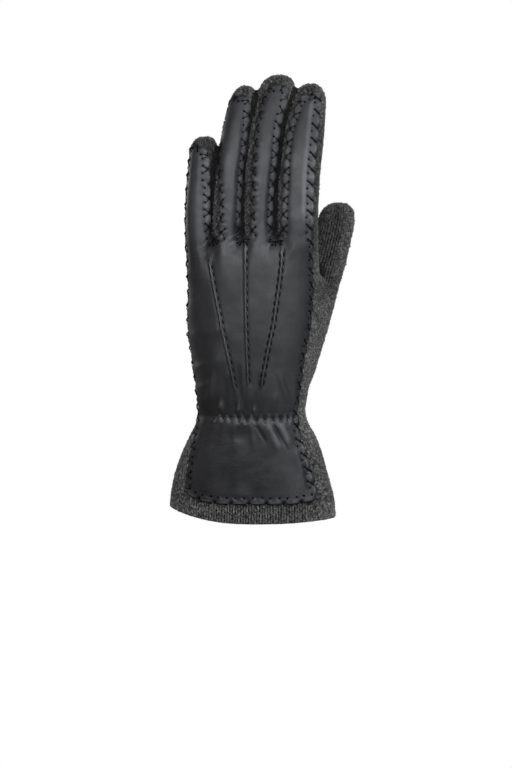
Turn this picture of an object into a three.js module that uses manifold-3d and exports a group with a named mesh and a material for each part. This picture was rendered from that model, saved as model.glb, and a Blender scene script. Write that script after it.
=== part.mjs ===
import * as THREE from 'three';
import Module from 'manifold-3d';

// A dress glove for the left hand: a knitted glove with one piece of leather on the back of the hand,
// over the fronts of the fingers and down the flared cuff. The glove has the filled form that it has when worn.
// Units are millimetres. +Z points to the fingertips, -Y is the back of the hand and +X the thumb side.
// The origin is the centre of the wrist, level with the gathered line.

// Walls and clearances.
const KNIT = 2;
const LEATHER = 1;
const GAP = 0.3;

// How far the leather's blanks reach into the knitting before the knitting's room is cut from them.
const SUNK = 0.7;

// Sides of each round section, and steps along it.
const HAND_SIDES = 28;
const FINGER_SIDES = 14;

// Outer face of the knitted hand and cuff: how far each level reaches to the left, right, back and palm.
// square is the exponent of the section's rounded outline: 2 is an ellipse.
const HAND = [
  { z: -60, left: -44.6, right: 46.2, back: -21.5, palm: 21.5, square: 2.2 },
  { z: -50, left: -43.6, right: 45.4, back: -21.5, palm: 21.5, square: 2.2 },
  { z: -37, left: -41.2, right: 42.2, back: -21.0, palm: 21.0, square: 2.2 },
  { z: -24, left: -37.3, right: 38.8, back: -20.4, palm: 20.4, square: 2.2 },
  { z: -14, left: -33.2, right: 35.3, back: -19.6, palm: 19.8, square: 2.2 },
  { z: -6, left: -29.7, right: 30.9, back: -18.3, palm: 18.9, square: 2.2 },
  { z: 0, left: -28.5, right: 29.3, back: -17.4, palm: 18.4, square: 2.2 },
  { z: 7, left: -28.8, right: 30.2, back: -18.2, palm: 18.8, square: 2.2 },
  { z: 18, left: -29.6, right: 31.8, back: -18.2, palm: 19.4, square: 2.2 },
  { z: 34, left: -31.0, right: 33.6, back: -17.4, palm: 19.6, square: 2.3 },
  { z: 50, left: -32.4, right: 35.3, back: -16.4, palm: 18.8, square: 2.4 },
  { z: 67, left: -33.2, right: 36.6, back: -14.8, palm: 16.6, square: 2.6 },
  { z: 84, left: -34.2, right: 36.8, back: -12.2, palm: 12.8, square: 3.0 },
  { z: 97, left: -34.6, right: 36.8, back: -10.8, palm: 10.4, square: 3.0 },
];
const HAND_TOP = { tip: 97, dome: 9 };

// Lower edge of the cuff, and of the leather on it, at the front, at each side and at the palm.
const HEM = { front: -59.5, left: -51.5, right: -57, palm: -58.5 };
const LEATHER_HEM = { middle: -49.4, left: -41.5, right: -45.2 };

// Each knitted finger: its axis, its half width and half depth, and the angles between which leather covers it.
// Angles run round the section from 0 at the back of the hand to 90 on the thumb side.
const FINGERS = {
  little: {
    tip: 150.6,
    dome: 10,
    rows: [
      { z: 78, x: -27.6, y: 0.2, wide: 6.9, deep: 7.6, from: -84, to: 58 },
      { z: 92, x: -28.4, y: -0.2, wide: 6.4, deep: 7.5, from: -84, to: 60 },
      { z: 104, x: -28.8, y: -0.3, wide: 6.0, deep: 7.3, from: -84, to: 60 },
      { z: 118, x: -28.4, y: 0.2, wide: 6.0, deep: 7.2, from: -84, to: 54 },
      { z: 132, x: -26.9, y: 1.4, wide: 6.7, deep: 7.2, from: -84, to: 34 },
      { z: 145, x: -25.8, y: 2.8, wide: 7.3, deep: 7.0, from: -78, to: 24 },
      { z: 151, x: -25.6, y: 3.6, wide: 7.8, deep: 6.9, from: -74, to: 20 },
    ],
  },
  ring: {
    tip: 178.4,
    dome: 10.5,
    rows: [
      { z: 78, x: -13.6, y: -0.8, wide: 7.4, deep: 8.4, from: -16, to: 68 },
      { z: 96, x: -14.1, y: -1.2, wide: 7.1, deep: 8.4, from: -16, to: 72 },
      { z: 114, x: -13.5, y: -1.3, wide: 7.0, deep: 8.2, from: -20, to: 72 },
      { z: 132, x: -12.1, y: -0.4, wide: 6.9, deep: 8.0, from: -44, to: 72 },
      { z: 145, x: -10.1, y: 1.0, wide: 6.4, deep: 7.8, from: -72, to: 70 },
      { z: 158, x: -7.9, y: 2.8, wide: 6.2, deep: 7.6, from: -80, to: 60 },
      { z: 169, x: -5.5, y: 4.6, wide: 6.6, deep: 7.4, from: -64, to: 44 },
      { z: 179, x: -3.2, y: 6.2, wide: 6.8, deep: 7.2, from: -56, to: 40 },
    ],
  },
  middle: {
    tip: 184,
    dome: 11.5,
    rows: [
      { z: 78, x: 4.2, y: -1.0, wide: 7.7, deep: 8.8, from: -22, to: 66 },
      { z: 96, x: 3.9, y: -1.6, wide: 7.7, deep: 8.8, from: -22, to: 66 },
      { z: 114, x: 4.2, y: -1.8, wide: 7.6, deep: 8.6, from: -22, to: 66 },
      { z: 132, x: 5.2, y: -0.8, wide: 8.0, deep: 8.4, from: -24, to: 66 },
      { z: 146, x: 6.6, y: 0.6, wide: 8.4, deep: 8.2, from: -28, to: 62 },
      { z: 158, x: 8.3, y: 2.4, wide: 8.8, deep: 8.0, from: -31, to: 56 },
      { z: 170, x: 12.2, y: 4.4, wide: 9.7, deep: 7.9, from: -34, to: 46 },
      { z: 184, x: 15.0, y: 6.6, wide: 10.2, deep: 7.8, from: -34, to: 42 },
    ],
  },
  index: {
    tip: 179.2,
    dome: 12.5,
    rows: [
      { z: 78, x: 25.2, y: -0.4, wide: 11.2, deep: 9.2, from: -40, to: 57 },
      { z: 96, x: 25.2, y: -1.0, wide: 11.4, deep: 9.2, from: -38, to: 48 },
      { z: 114, x: 25.5, y: -1.2, wide: 11.3, deep: 9.0, from: -36, to: 45 },
      { z: 132, x: 26.7, y: -0.4, wide: 11.1, deep: 8.8, from: -29, to: 41 },
      { z: 146, x: 28.2, y: 0.8, wide: 11.0, deep: 8.6, from: -27, to: 37 },
      { z: 158, x: 29.4, y: 2.4, wide: 10.6, deep: 8.4, from: -27, to: 35 },
      { z: 167, x: 30.9, y: 4.0, wide: 9.5, deep: 8.2, from: -29, to: 35 },
      { z: 179, x: 32.1, y: 6.0, wide: 8.6, deep: 8.0, from: -30, to: 36 },
    ],
  },
};
const FINGER_ROOT = 80;
const FINGER_SEAM = 98;

// The knitted thumb. Below its seam the same tube is the gusset of the hand.
const THUMB = {
  tip: 114.2,
  dome: 10.5,
  rows: [
    { z: 4, x: 17.0, y: 1.0, wide: 9.0, deep: 9.0 },
    { z: 18, x: 21.6, y: 6.4, wide: 11.2, deep: 12.0 },
    { z: 34, x: 25.6, y: 10.4, wide: 12.0, deep: 12.4 },
    { z: 50, x: 30.6, y: 13.8, wide: 11.6, deep: 11.6 },
    { z: 68, x: 35.8, y: 17.4, wide: 10.7, deep: 10.3 },
    { z: 85, x: 40.4, y: 21.4, wide: 10.2, deep: 9.6 },
    { z: 102, x: 44.0, y: 25.4, wide: 9.8, deep: 9.2 },
    { z: 115, x: 46.0, y: 28.0, wide: 9.4, deep: 9.0 },
  ],
};
const THUMB_ROOT = 10;
const THUMB_SEAM = 75;

// The leather on the hand and cuff: the angles of its two edges at each level.
const BACK = [
  { z: -50, from: -50, to: 55 },
  { z: -41, from: -52, to: 54 },
  { z: -24, from: -58, to: 52 },
  { z: -14, from: -65, to: 51 },
  { z: -6, from: -74, to: 57 },
  { z: 0, from: -84, to: 60 },
  { z: 22, from: -86, to: 59 },
  { z: 41, from: -86, to: 61 },
  { z: 56, from: -86, to: 64 },
  { z: 72, from: -86, to: 63 },
  { z: 88, from: -84, to: 60 },
  { z: 96, from: -84, to: 60 },
];
const BACK_TOP = 95;

// How far the leather stops short of a fingertip, and how much lower its edge is at the sides.
const TIP_MARGIN = 6;
const TIP_DROP = 4.5;

// Three raised points run from between the fingers towards the wrist. x is where the line crosses each level.
const POINTS = [
  { upper: { z: 82, x: -21.1 }, middle: { z: 48, x: -13.8 }, lower: { z: 13, x: -6.4 } },
  { upper: { z: 94, x: -1.9 }, middle: { z: 55, x: -1.0 }, lower: { z: 16, x: 0.4 } },
  { upper: { z: 89, x: 19.0 }, middle: { z: 52, x: 14.3 }, lower: { z: 15, x: 7.0 } },
];
const POINT_RIDGE = { halfWidth: 0.8, height: 1.1, steps: 8 };

// The gathered line across the wrist: small upright folds, evenly spaced.
const GATHER = { folds: 10, first: -17.6, spacing: 4.4, top: 5, bottom: -10, halfWidth: 1.5, height: 1.5, steps: 4 };

const wasm = await Module();
wasm.setup();

const radians = THREE.MathUtils.degToRad;

// The table's row at a height, with smooth values between the rows.
function rowAt(table, z) {
  const last = table.length - 2;
  let i = 0;
  while (i < last && z > table[i + 1].z) i += 1;
  const [a, b] = [table[i], table[i + 1]];
  const before = table[Math.max(i - 1, 0)];
  const after = table[Math.min(i + 2, table.length - 1)];
  const span = b.z - a.z;
  const t = THREE.MathUtils.clamp((z - a.z) / span, 0, 1);
  const row = { z };
  for (const key of Object.keys(a)) {
    if (key === 'z') continue;
    const leave = ((b[key] - before[key]) / (b.z - before.z)) * span;
    const arrive = ((after[key] - a[key]) / (after.z - a.z)) * span;
    row[key] =
      (2 * t ** 3 - 3 * t ** 2 + 1) * a[key] +
      (t ** 3 - 2 * t ** 2 + t) * leave +
      (3 * t ** 2 - 2 * t ** 3) * b[key] +
      (t ** 3 - t ** 2) * arrive;
  }
  return row;
}

// How much a section shrinks inside a rounded end. grow moves the end outwards with the wall.
function domeScale(z, { tip, dome }, grow) {
  const blunt = 2.4;
  const t = THREE.MathUtils.clamp((z - tip + dome) / (dome + grow), 0, 1);
  return (1 - t ** blunt) ** (1 / blunt);
}

// A point on the rounded outline at an angle.
function onOutline(z, centre, half, angle, square) {
  const power = (value) => Math.sign(value) * Math.abs(value) ** (2 / square);
  return new THREE.Vector3(
    centre.x + half.x * power(Math.sin(angle)),
    centre.y - half.y * power(Math.cos(angle)),
    z,
  );
}

// A point of the hand's outer face, moved outwards by grow.
function handPoint(z, angle, grow) {
  const row = rowAt(HAND, z);
  const scale = domeScale(z, HAND_TOP, grow);
  const centre = { x: (row.left + row.right) / 2, y: (row.back + row.palm) / 2 };
  const half = {
    x: ((row.right - row.left) / 2 + grow) * scale,
    y: ((row.palm - row.back) / 2 + grow) * scale,
  };
  return onOutline(z, centre, half, angle, row.square);
}

// A point of a finger's or the thumb's outer face, moved outwards by grow.
function digitPoint(digit, z, angle, grow) {
  const row = rowAt(digit.rows, z);
  const scale = domeScale(z, digit, grow);
  const half = { x: (row.wide + grow) * scale, y: (row.deep + grow) * scale };
  return onOutline(z, row, half, angle, 2);
}

// The height of the cuff's lower edge at an angle.
function hemHeight(angle) {
  const side = Math.sin(angle) < 0 ? HEM.left : HEM.right;
  const across = Math.sin(angle) ** 2;
  const end = Math.cos(angle) > 0 ? HEM.front : HEM.palm;
  return end + (side - end) * across;
}

// Levels from low to high: even steps up to the rounded end, then closer ones to its top.
function levels(low, high, steps, { tip, dome }, grow) {
  const start = tip - dome;
  const even = Array.from({ length: steps + 1 }, (_, i) => low + ((Math.min(high, start) - low) * i) / steps);
  if (high <= start) return even;
  const rounding = [0.36, 0.62, 0.82, 0.95].map((t) => start + (dome + grow) * t);
  return [...even, ...rounding];
}

// A closed mesh from rings of points that all have the same count, running upwards and closed by fans.
function loft(rings, topPoint) {
  const sides = rings[0].length;
  const centre = (ring) => ring.reduce((sum, p) => sum.add(p), new THREE.Vector3()).divideScalar(ring.length);
  const points = [...rings.flat(), centre(rings[0]), topPoint ?? centre(rings.at(-1))];
  const [bottom, top] = [points.length - 2, points.length - 1];
  const triangles = [];
  for (let i = 0; i < sides; i += 1) {
    const next = (i + 1) % sides;
    triangles.push(bottom, next, i);
    for (let r = 0; r + 1 < rings.length; r += 1) {
      const [low, high] = [r * sides, (r + 1) * sides];
      triangles.push(low + i, low + next, high + next, low + i, high + next, high + i);
    }
    const lastRing = (rings.length - 1) * sides;
    triangles.push(top, lastRing + i, lastRing + next);
  }
  return solid(points, triangles);
}

// A sheet with thickness: a grid of outer points over a grid of inner points, joined round its edge.
function sheet(outer, inner) {
  const rows = outer.length;
  const columns = outer[0].length;
  const points = [...outer.flat(), ...inner.flat()];
  const o = (r, c) => r * columns + c;
  const n = (r, c) => rows * columns + o(r, c);
  const triangles = [];
  const quad = (a, b, c, d) => triangles.push(a, b, c, a, c, d);
  for (let r = 0; r + 1 < rows; r += 1) {
    for (let c = 0; c + 1 < columns; c += 1) {
      quad(o(r, c), o(r, c + 1), o(r + 1, c + 1), o(r + 1, c));
      quad(n(r, c), n(r + 1, c), n(r + 1, c + 1), n(r, c + 1));
    }
    quad(o(r, 0), o(r + 1, 0), n(r + 1, 0), n(r, 0));
    quad(o(r, columns - 1), n(r, columns - 1), n(r + 1, columns - 1), o(r + 1, columns - 1));
  }
  for (let c = 0; c + 1 < columns; c += 1) {
    quad(o(0, c), n(0, c), n(0, c + 1), o(0, c + 1));
    quad(o(rows - 1, c), o(rows - 1, c + 1), n(rows - 1, c + 1), n(rows - 1, c));
  }
  return solid(points, triangles);
}

// A closed solid from points and triangles.
function solid(points, triangles) {
  return new wasm.Manifold(
    new wasm.Mesh({
      numProp: 3,
      vertProperties: new Float32Array(points.flatMap((p) => [p.x, p.y, p.z])),
      triVerts: new Uint32Array(triangles),
    }),
  );
}

function union(solids) {
  return solids.reduce((sum, next) => sum.add(next));
}

// The angles of a ring's corners, anticlockwise when seen from above.
function corners(sides) {
  return Array.from({ length: sides }, (_, i) => (i / sides) * 2 * Math.PI);
}

// The hand and cuff as a full solid. Levels below the wrist are stretched to meet the cuff's edge.
function handSolid(grow, below) {
  const cuff = [1, 0.86, 0.66, 0.46, 0.28, 0.13, 0];
  const upper = levels(8, HAND_TOP.tip, 9, HAND_TOP, grow);
  const ring = (height) => corners(HAND_SIDES).map((angle) => handPoint(height(angle), angle, grow));
  const rings = [
    ...cuff.map((share) => ring((angle) => (hemHeight(angle) - below) * share)),
    ...upper.map((z) => ring(() => z)),
  ];
  return loft(rings);
}

// A finger or thumb as a full solid between two levels.
function digitSolid(digit, grow, low, high, steps) {
  const ring = (z) => corners(FINGER_SIDES).map((angle) => digitPoint(digit, z, angle, grow));
  const rings = levels(low, high, steps, digit, grow).map(ring);
  const top = high >= digit.tip ? digitPoint(digit, digit.tip + grow, 0, grow) : undefined;
  return loft(rings, top);
}

// A hollow finger or thumb, open at its seam.
function digitShell(digit, seam, steps) {
  const outer = digitSolid(digit, 0, seam, digit.tip, steps);
  const inner = digitSolid(digit, -KNIT, seam - KNIT, digit.tip, steps);
  return outer.subtract(inner);
}

// The knitted hand with its cuff, its thumb gusset and the roots of the fingers.
function knitHand() {
  const fingers = Object.values(FINGERS);
  const roots = (grow, reach) => [
    ...fingers.map((finger) => digitSolid(finger, grow, FINGER_ROOT, FINGER_SEAM - GAP + reach, 2)),
    digitSolid(THUMB, grow, THUMB_ROOT - grow, THUMB_SEAM - GAP + reach, 6),
  ];
  const outer = union([handSolid(0, 0), ...roots(0, 0)]);
  const inner = union([handSolid(-KNIT, KNIT), ...roots(-KNIT, KNIT)]);
  return outer.subtract(inner);
}

// The heights of one leather column on the hand: those below the wrist end on the leather's lower edge.
function backHeight(z, across) {
  if (z >= 0) return z;
  const { middle, left, right } = LEATHER_HEM;
  const edge = across < 0 ? middle + (left - middle) * across ** 4 : middle + (right - middle) * across ** 4;
  return (z * edge) / middle;
}

// The leather over the hand and cuff.
function backSheet() {
  const columns = 16;
  const heights = [LEATHER_HEM.middle, -41, -31, -22, -14, -7, 0, 7, 18, 32, 46, 60, 73, 83, 89, 92.5, BACK_TOP];
  const grid = (grow) =>
    heights.map((level) =>
      Array.from({ length: columns + 1 }, (_, c) => {
        const across = (2 * c) / columns - 1;
        const z = backHeight(level, across);
        const { from, to } = rowAt(BACK, z);
        return handPoint(z, radians(from + (to - from) * (c / columns)), grow);
      }),
    );
  return sheet(grid(GAP + LEATHER), grid(-SUNK));
}

// The leather over the front of one finger, with a rounded end below the knitted tip.
function fingerSheet(finger) {
  const columns = 7;
  const steps = 11;
  const low = FINGER_ROOT;
  const grid = (grow) =>
    Array.from({ length: steps + 1 }, (_, r) =>
      Array.from({ length: columns + 1 }, (_, c) => {
        const across = (2 * c) / columns - 1;
        const high = finger.tip - TIP_MARGIN - TIP_DROP * across ** 4;
        const z = low + ((high - low) * r) / steps;
        const { from, to } = rowAt(finger.rows, z);
        return digitPoint(finger, z, radians(from + (to - from) * (c / columns)), grow);
      }),
    );
  return sheet(grid(GAP + LEATHER), grid(-SUNK));
}

// The leather's outer face above an X on the back of the hand, and the direction out of it.
function backFace(x, z) {
  const grow = GAP + LEATHER;
  const row = rowAt(HAND, z);
  const centre = (row.left + row.right) / 2;
  const half = ((row.right - row.left) / 2 + grow) * domeScale(z, HAND_TOP, grow);
  const share = (x - centre) / half;
  const angle = Math.asin(Math.sign(share) * Math.abs(share) ** (row.square / 2));
  const point = handPoint(z, angle, grow);
  const beside = handPoint(z, angle + 0.02, grow);
  const across = beside.sub(point).normalize();
  const out = new THREE.Vector3(across.y, -across.x, 0);
  return { point, across, out };
}

// A raised fold on the leather, along a path of X against height. Its foot reaches through the leather.
function ridge(path, steps, top, bottom, size) {
  const foot = LEATHER + GAP + SUNK;
  const rings = [];
  for (let i = 0; i <= steps; i += 1) {
    const t = i / steps;
    const z = bottom + (top - bottom) * t;
    const { point, across, out } = backFace(path(z), z);
    const { halfWidth, height } = size(t);
    const place = (side, rise) => point.clone().addScaledVector(across, side).addScaledVector(out, rise);
    rings.push([
      place(-halfWidth, -foot),
      place(-0.5 * halfWidth, 0.7 * height),
      place(0, height),
      place(0.5 * halfWidth, 0.7 * height),
      place(halfWidth, -foot),
    ]);
  }
  return loft(rings);
}

// One raised point, a narrow ridge that fades at both ends.
function pointRidge({ upper, middle, lower }) {
  const curve = new THREE.QuadraticBezierCurve(
    new THREE.Vector2(lower.x, lower.z),
    new THREE.Vector2(2 * middle.x - (lower.x + upper.x) / 2, 2 * middle.z - (lower.z + upper.z) / 2),
    new THREE.Vector2(upper.x, upper.z),
  );
  const path = (z) => curve.getPoint((z - lower.z) / (upper.z - lower.z)).x;
  const size = (t) => ({
    halfWidth: POINT_RIDGE.halfWidth,
    height: POINT_RIDGE.height * Math.min(1, 6 * t + 0.1, 6 * (1 - t) + 0.1),
  });
  return ridge(path, POINT_RIDGE.steps, upper.z, lower.z, size);
}

// One upright fold of the gathered line.
function gatherFold(index) {
  const x = GATHER.first + GATHER.spacing * index;
  const swell = (t) => 0.1 + 0.9 * Math.sin(Math.PI * t);
  const size = (t) => ({ halfWidth: GATHER.halfWidth * swell(t), height: GATHER.height * swell(t) });
  return ridge(() => x, GATHER.steps, GATHER.top, GATHER.bottom, size);
}

// The leather in one piece, kept clear of the knitting under it.
function leatherBack() {
  const fingers = Object.values(FINGERS);
  const folds = Array.from({ length: GATHER.folds }, (_, i) => gatherFold(i));
  const leather = union([backSheet(), ...fingers.map(fingerSheet), ...POINTS.map(pointRidge), ...folds]);
  const knitting = union([
    handSolid(GAP, 0),
    ...fingers.map((finger) => digitSolid(finger, GAP, FINGER_ROOT, finger.tip, 10)),
  ]);
  return leather.subtract(knitting);
}

// A named mesh from a solid.
function mesh(name, shape, material) {
  const { vertProperties, triVerts } = shape.getMesh();
  const geometry = new THREE.BufferGeometry();
  geometry.setAttribute('position', new THREE.BufferAttribute(new Float32Array(vertProperties), 3));
  geometry.setIndex(new THREE.BufferAttribute(new Uint32Array(triVerts), 1));
  geometry.computeVertexNormals();
  const made = new THREE.Mesh(geometry, material);
  made.name = name;
  return made;
}

const knitWool = new THREE.MeshStandardMaterial({ color: 0x45433f, roughness: 0.95, metalness: 0 });
const blackLeather = new THREE.MeshStandardMaterial({ color: 0x26272b, roughness: 0.45, metalness: 0 });

const glove = new THREE.Group();
glove.add(mesh('leather_back', leatherBack(), blackLeather));
glove.add(mesh('knit_hand', knitHand(), knitWool));
glove.add(mesh('knit_thumb', digitShell(THUMB, THUMB_SEAM, 5), knitWool));
for (const [name, finger] of Object.entries(FINGERS)) {
  glove.add(mesh(`knit_${name}_finger`, digitShell(finger, FINGER_SEAM, 6), knitWool));
}

export default glove;
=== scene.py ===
import math

import bpy
import numpy as np
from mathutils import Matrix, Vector
from mathutils.bvhtree import BVHTree
from mathutils.kdtree import KDTree


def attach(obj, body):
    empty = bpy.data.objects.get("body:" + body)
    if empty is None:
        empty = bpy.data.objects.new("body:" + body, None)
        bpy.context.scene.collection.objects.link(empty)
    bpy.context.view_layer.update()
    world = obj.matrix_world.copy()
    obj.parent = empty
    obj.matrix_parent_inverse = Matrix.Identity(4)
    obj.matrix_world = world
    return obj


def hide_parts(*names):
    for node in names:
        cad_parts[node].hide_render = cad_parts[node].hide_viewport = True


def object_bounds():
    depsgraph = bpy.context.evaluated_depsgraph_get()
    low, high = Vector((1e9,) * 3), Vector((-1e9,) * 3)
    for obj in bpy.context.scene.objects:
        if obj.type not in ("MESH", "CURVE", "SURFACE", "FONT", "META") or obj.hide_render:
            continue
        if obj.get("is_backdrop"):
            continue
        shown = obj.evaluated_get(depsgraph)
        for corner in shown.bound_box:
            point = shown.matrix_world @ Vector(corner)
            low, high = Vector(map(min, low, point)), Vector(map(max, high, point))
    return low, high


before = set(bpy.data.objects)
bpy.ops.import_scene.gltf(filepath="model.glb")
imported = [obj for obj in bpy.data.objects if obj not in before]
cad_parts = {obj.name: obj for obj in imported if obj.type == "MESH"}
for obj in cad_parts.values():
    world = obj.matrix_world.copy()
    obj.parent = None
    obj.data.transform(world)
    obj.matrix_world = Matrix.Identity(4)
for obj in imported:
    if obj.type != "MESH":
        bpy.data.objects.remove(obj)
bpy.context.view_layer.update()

# Shapes are worked out in millimetres and made in metres.
MM = 0.001
random = np.random.default_rng(11)


def direction(azimuth, elevation):
    """The way from a target to what looks at it, with angles in degrees and azimuth 0 in front."""
    a = math.radians(azimuth)
    e = math.radians(elevation)
    return Vector((math.sin(a) * math.cos(e), -math.cos(a) * math.cos(e), math.sin(e)))


# Camera, at the photograph's angle: a little to the thumb side and just above the wrist.
TARGET = Vector((0.0027, 0.0, 0.0153))
DISTANCE = 1.6
LENS = 137
AZIMUTH = 6
ELEVATION = 3
away = direction(AZIMUTH, ELEVATION)
camera_data = bpy.data.cameras.new("camera")
camera_data.lens = LENS
camera_data.sensor_width = 36
camera_data.clip_start = 0.05
camera_data.clip_end = 50
camera = bpy.data.objects.new("camera", camera_data)
camera.location = TARGET + away * DISTANCE
camera.rotation_mode = "QUATERNION"
camera.rotation_quaternion = (-away).to_track_quat("-Z", "Y")
bpy.context.scene.collection.objects.link(camera)
bpy.context.scene.camera = camera

# Outer face of the knitted hand: height, reach to the left, right, back and palm, and squareness.
HAND_ROWS = [
    (-60, -44.6, 46.2, -21.5, 21.5, 2.2),
    (-50, -43.6, 45.4, -21.5, 21.5, 2.2),
    (-37, -41.2, 42.2, -21.0, 21.0, 2.2),
    (-24, -37.3, 38.8, -20.4, 20.4, 2.2),
    (-14, -33.2, 35.3, -19.6, 19.8, 2.2),
    (-6, -29.7, 30.9, -18.3, 18.9, 2.2),
    (0, -28.5, 29.3, -17.4, 18.4, 2.2),
    (7, -28.8, 30.2, -18.2, 18.8, 2.2),
    (18, -29.6, 31.8, -18.2, 19.4, 2.2),
    (34, -31.0, 33.6, -17.4, 19.6, 2.3),
    (50, -32.4, 35.3, -16.4, 18.8, 2.4),
    (67, -33.2, 36.6, -14.8, 16.6, 2.6),
    (84, -34.2, 36.8, -12.2, 12.8, 3.0),
    (97, -34.6, 36.8, -10.8, 10.4, 3.0),
]
HAND_TIP = 97
HAND_DOME = 14

# Lower edge of the cuff and of the leather on it. The hem is made level and then curved.
HEM_LEVEL = -60
HEM_CENTRE = 0.8
HEM_REACH = 45.4
HEM_FRONT = -59.5
HEM_LEFT = -51.5
HEM_RIGHT = -57
HEM_PALM = -58.5
LEATHER_MIDDLE = -48.3
LEATHER_LEFT = -41.5
LEATHER_RIGHT = -45.2

# Fingers and thumb: height, axis, half width, half depth, and the angles between which leather covers them.
LITTLE = {
    "tip": 150.6,
    "dome": 10,
    "slant": -2.6,
    "lift": 1.2,
    "rows": [
        (78, -27.6, 0.2, 6.9, 7.6, -84, 58),
        (92, -28.4, -0.2, 6.4, 7.5, -84, 60),
        (104, -28.8, -0.3, 6.0, 7.3, -84, 60),
        (118, -28.4, 0.2, 6.0, 7.2, -84, 54),
        (132, -26.9, 1.4, 6.7, 7.2, -84, 34),
        (145, -25.8, 2.8, 7.3, 7.0, -78, 24),
        (151, -25.6, 3.6, 7.8, 6.9, -74, 20),
    ],
}
RING = {
    "tip": 178.4,
    "dome": 10.5,
    "slant": 0.0,
    "lift": 0.0,
    "rows": [
        (78, -13.6, -0.8, 7.4, 8.4, -16, 68),
        (96, -14.1, -1.2, 7.1, 8.4, -16, 72),
        (114, -13.5, -1.3, 7.0, 8.2, -20, 72),
        (132, -12.1, -0.4, 6.9, 8.0, -44, 72),
        (145, -10.1, 1.0, 6.4, 7.8, -72, 70),
        (158, -7.9, 2.8, 6.2, 7.6, -80, 60),
        (169, -5.5, 4.6, 6.6, 7.4, -64, 44),
        (179, -3.2, 6.2, 6.8, 7.2, -56, 40),
    ],
}
MIDDLE = {
    "tip": 184,
    "dome": 11.5,
    "slant": 0.6,
    "lift": 0.0,
    "rows": [
        (78, 4.2, -1.0, 7.7, 8.8, -22, 66),
        (96, 3.9, -1.6, 7.7, 8.8, -22, 66),
        (114, 4.2, -1.8, 7.6, 8.6, -22, 66),
        (132, 5.2, -0.8, 8.0, 8.4, -24, 66),
        (146, 6.6, 0.6, 8.4, 8.2, -28, 62),
        (158, 8.3, 2.4, 8.8, 8.0, -31, 56),
        (170, 12.2, 4.4, 9.7, 7.9, -34, 46),
        (184, 15.0, 6.6, 10.2, 7.8, -34, 42),
    ],
}
INDEX = {
    "tip": 179.2,
    "dome": 12.5,
    "slant": 2.0,
    "lift": 0.0,
    "rows": [
        (78, 25.2, -0.4, 11.2, 9.2, -40, 57),
        (96, 25.2, -1.0, 11.4, 9.2, -38, 49),
        (114, 25.5, -1.2, 11.3, 9.0, -38, 47),
        (132, 26.7, -0.4, 11.1, 8.8, -41, 45),
        (146, 28.2, 0.8, 11.0, 8.6, -45, 44),
        (158, 29.4, 2.4, 10.6, 8.4, -39, 44),
        (167, 30.9, 4.0, 9.5, 8.2, -34, 45),
        (179, 32.1, 6.0, 8.6, 8.0, -36, 46),
    ],
}
THUMB = {
    "tip": 114.2,
    "dome": 10.5,
    "rows": [
        (4, 17.0, 1.0, 9.0, 9.0, 0, 0),
        (18, 21.6, 6.4, 11.2, 12.0, 0, 0),
        (34, 25.6, 10.4, 12.0, 12.4, 0, 0),
        (50, 30.6, 13.8, 11.6, 11.6, 0, 0),
        (68, 35.8, 17.4, 10.7, 10.3, 0, 0),
        (85, 40.4, 21.4, 10.2, 9.6, 0, 0),
        (102, 44.0, 25.4, 9.8, 9.2, 0, 0),
        (115, 46.0, 28.0, 9.4, 9.0, 0, 0),
    ],
}
FINGERS = [LITTLE, RING, MIDDLE, INDEX]
FINGER_ROOT = 80
THUMB_ROOT = 10
THUMB_SEAM = 75

# The angles of the leather's two edges on the hand and cuff.
BACK_ROWS = [
    (-50, -50, 55),
    (-41, -52, 54),
    (-24, -58, 52),
    (-14, -65, 51),
    (-6, -74, 57),
    (0, -84, 60),
    (22, -86, 59),
    (41, -86, 61),
    (56, -86, 64),
    (72, -86, 63),
    (88, -84, 60),
    (96, -84, 60),
]
BACK_TOP = 96.5

# The leather stands this far above the knitting, and never lower than the second value.
LEATHER_TOP = 1.3
LEATHER_LEAST = 0.55


class Table:
    """Smooth values between the rows of a table whose first column is the height."""

    def __init__(self, rows):
        data = np.array(rows, float)
        self.z = data[:, 0]
        self.values = data[:, 1:]
        places = np.arange(len(self.z))
        before = np.maximum(places - 1, 0)
        after = np.minimum(places + 1, len(self.z) - 1)
        step = (self.z[after] - self.z[before])[:, None]
        self.slopes = (self.values[after] - self.values[before]) / step

    def at(self, z):
        z = np.asarray(z, float)
        i = np.clip(np.searchsorted(self.z, z, side="right") - 1, 0, len(self.z) - 2)
        span = self.z[i + 1] - self.z[i]
        t = np.clip((z - self.z[i]) / span, 0, 1)[..., None]
        span = span[..., None]
        return (
            (2 * t**3 - 3 * t**2 + 1) * self.values[i]
            + (t**3 - 2 * t**2 + t) * self.slopes[i] * span
            + (3 * t**2 - 2 * t**3) * self.values[i + 1]
            + (t**3 - t**2) * self.slopes[i + 1] * span
        )


hand_table = Table(HAND_ROWS)
back_table = Table(BACK_ROWS)
for digit in FINGERS + [THUMB]:
    digit["table"] = Table(digit["rows"])


def smoothstep(low, high, value):
    t = np.clip((value - low) / (high - low), 0, 1)
    return t * t * (3 - 2 * t)


def dome_scale(z, tip, dome, grow):
    """How much a section shrinks inside a rounded end."""
    blunt = 2.4
    t = np.clip((z - tip + dome) / (dome + grow), 0, 1)
    return (1 - t**blunt) ** (1 / blunt)


def on_outline(centre_x, centre_y, half_x, half_y, angle, square, z):
    sine = np.sin(angle)
    cosine = np.cos(angle)
    x = centre_x + half_x * np.sign(sine) * np.abs(sine) ** (2 / square)
    y = centre_y - half_y * np.sign(cosine) * np.abs(cosine) ** (2 / square)
    return np.stack(np.broadcast_arrays(x, y, z), axis=-1)


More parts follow.
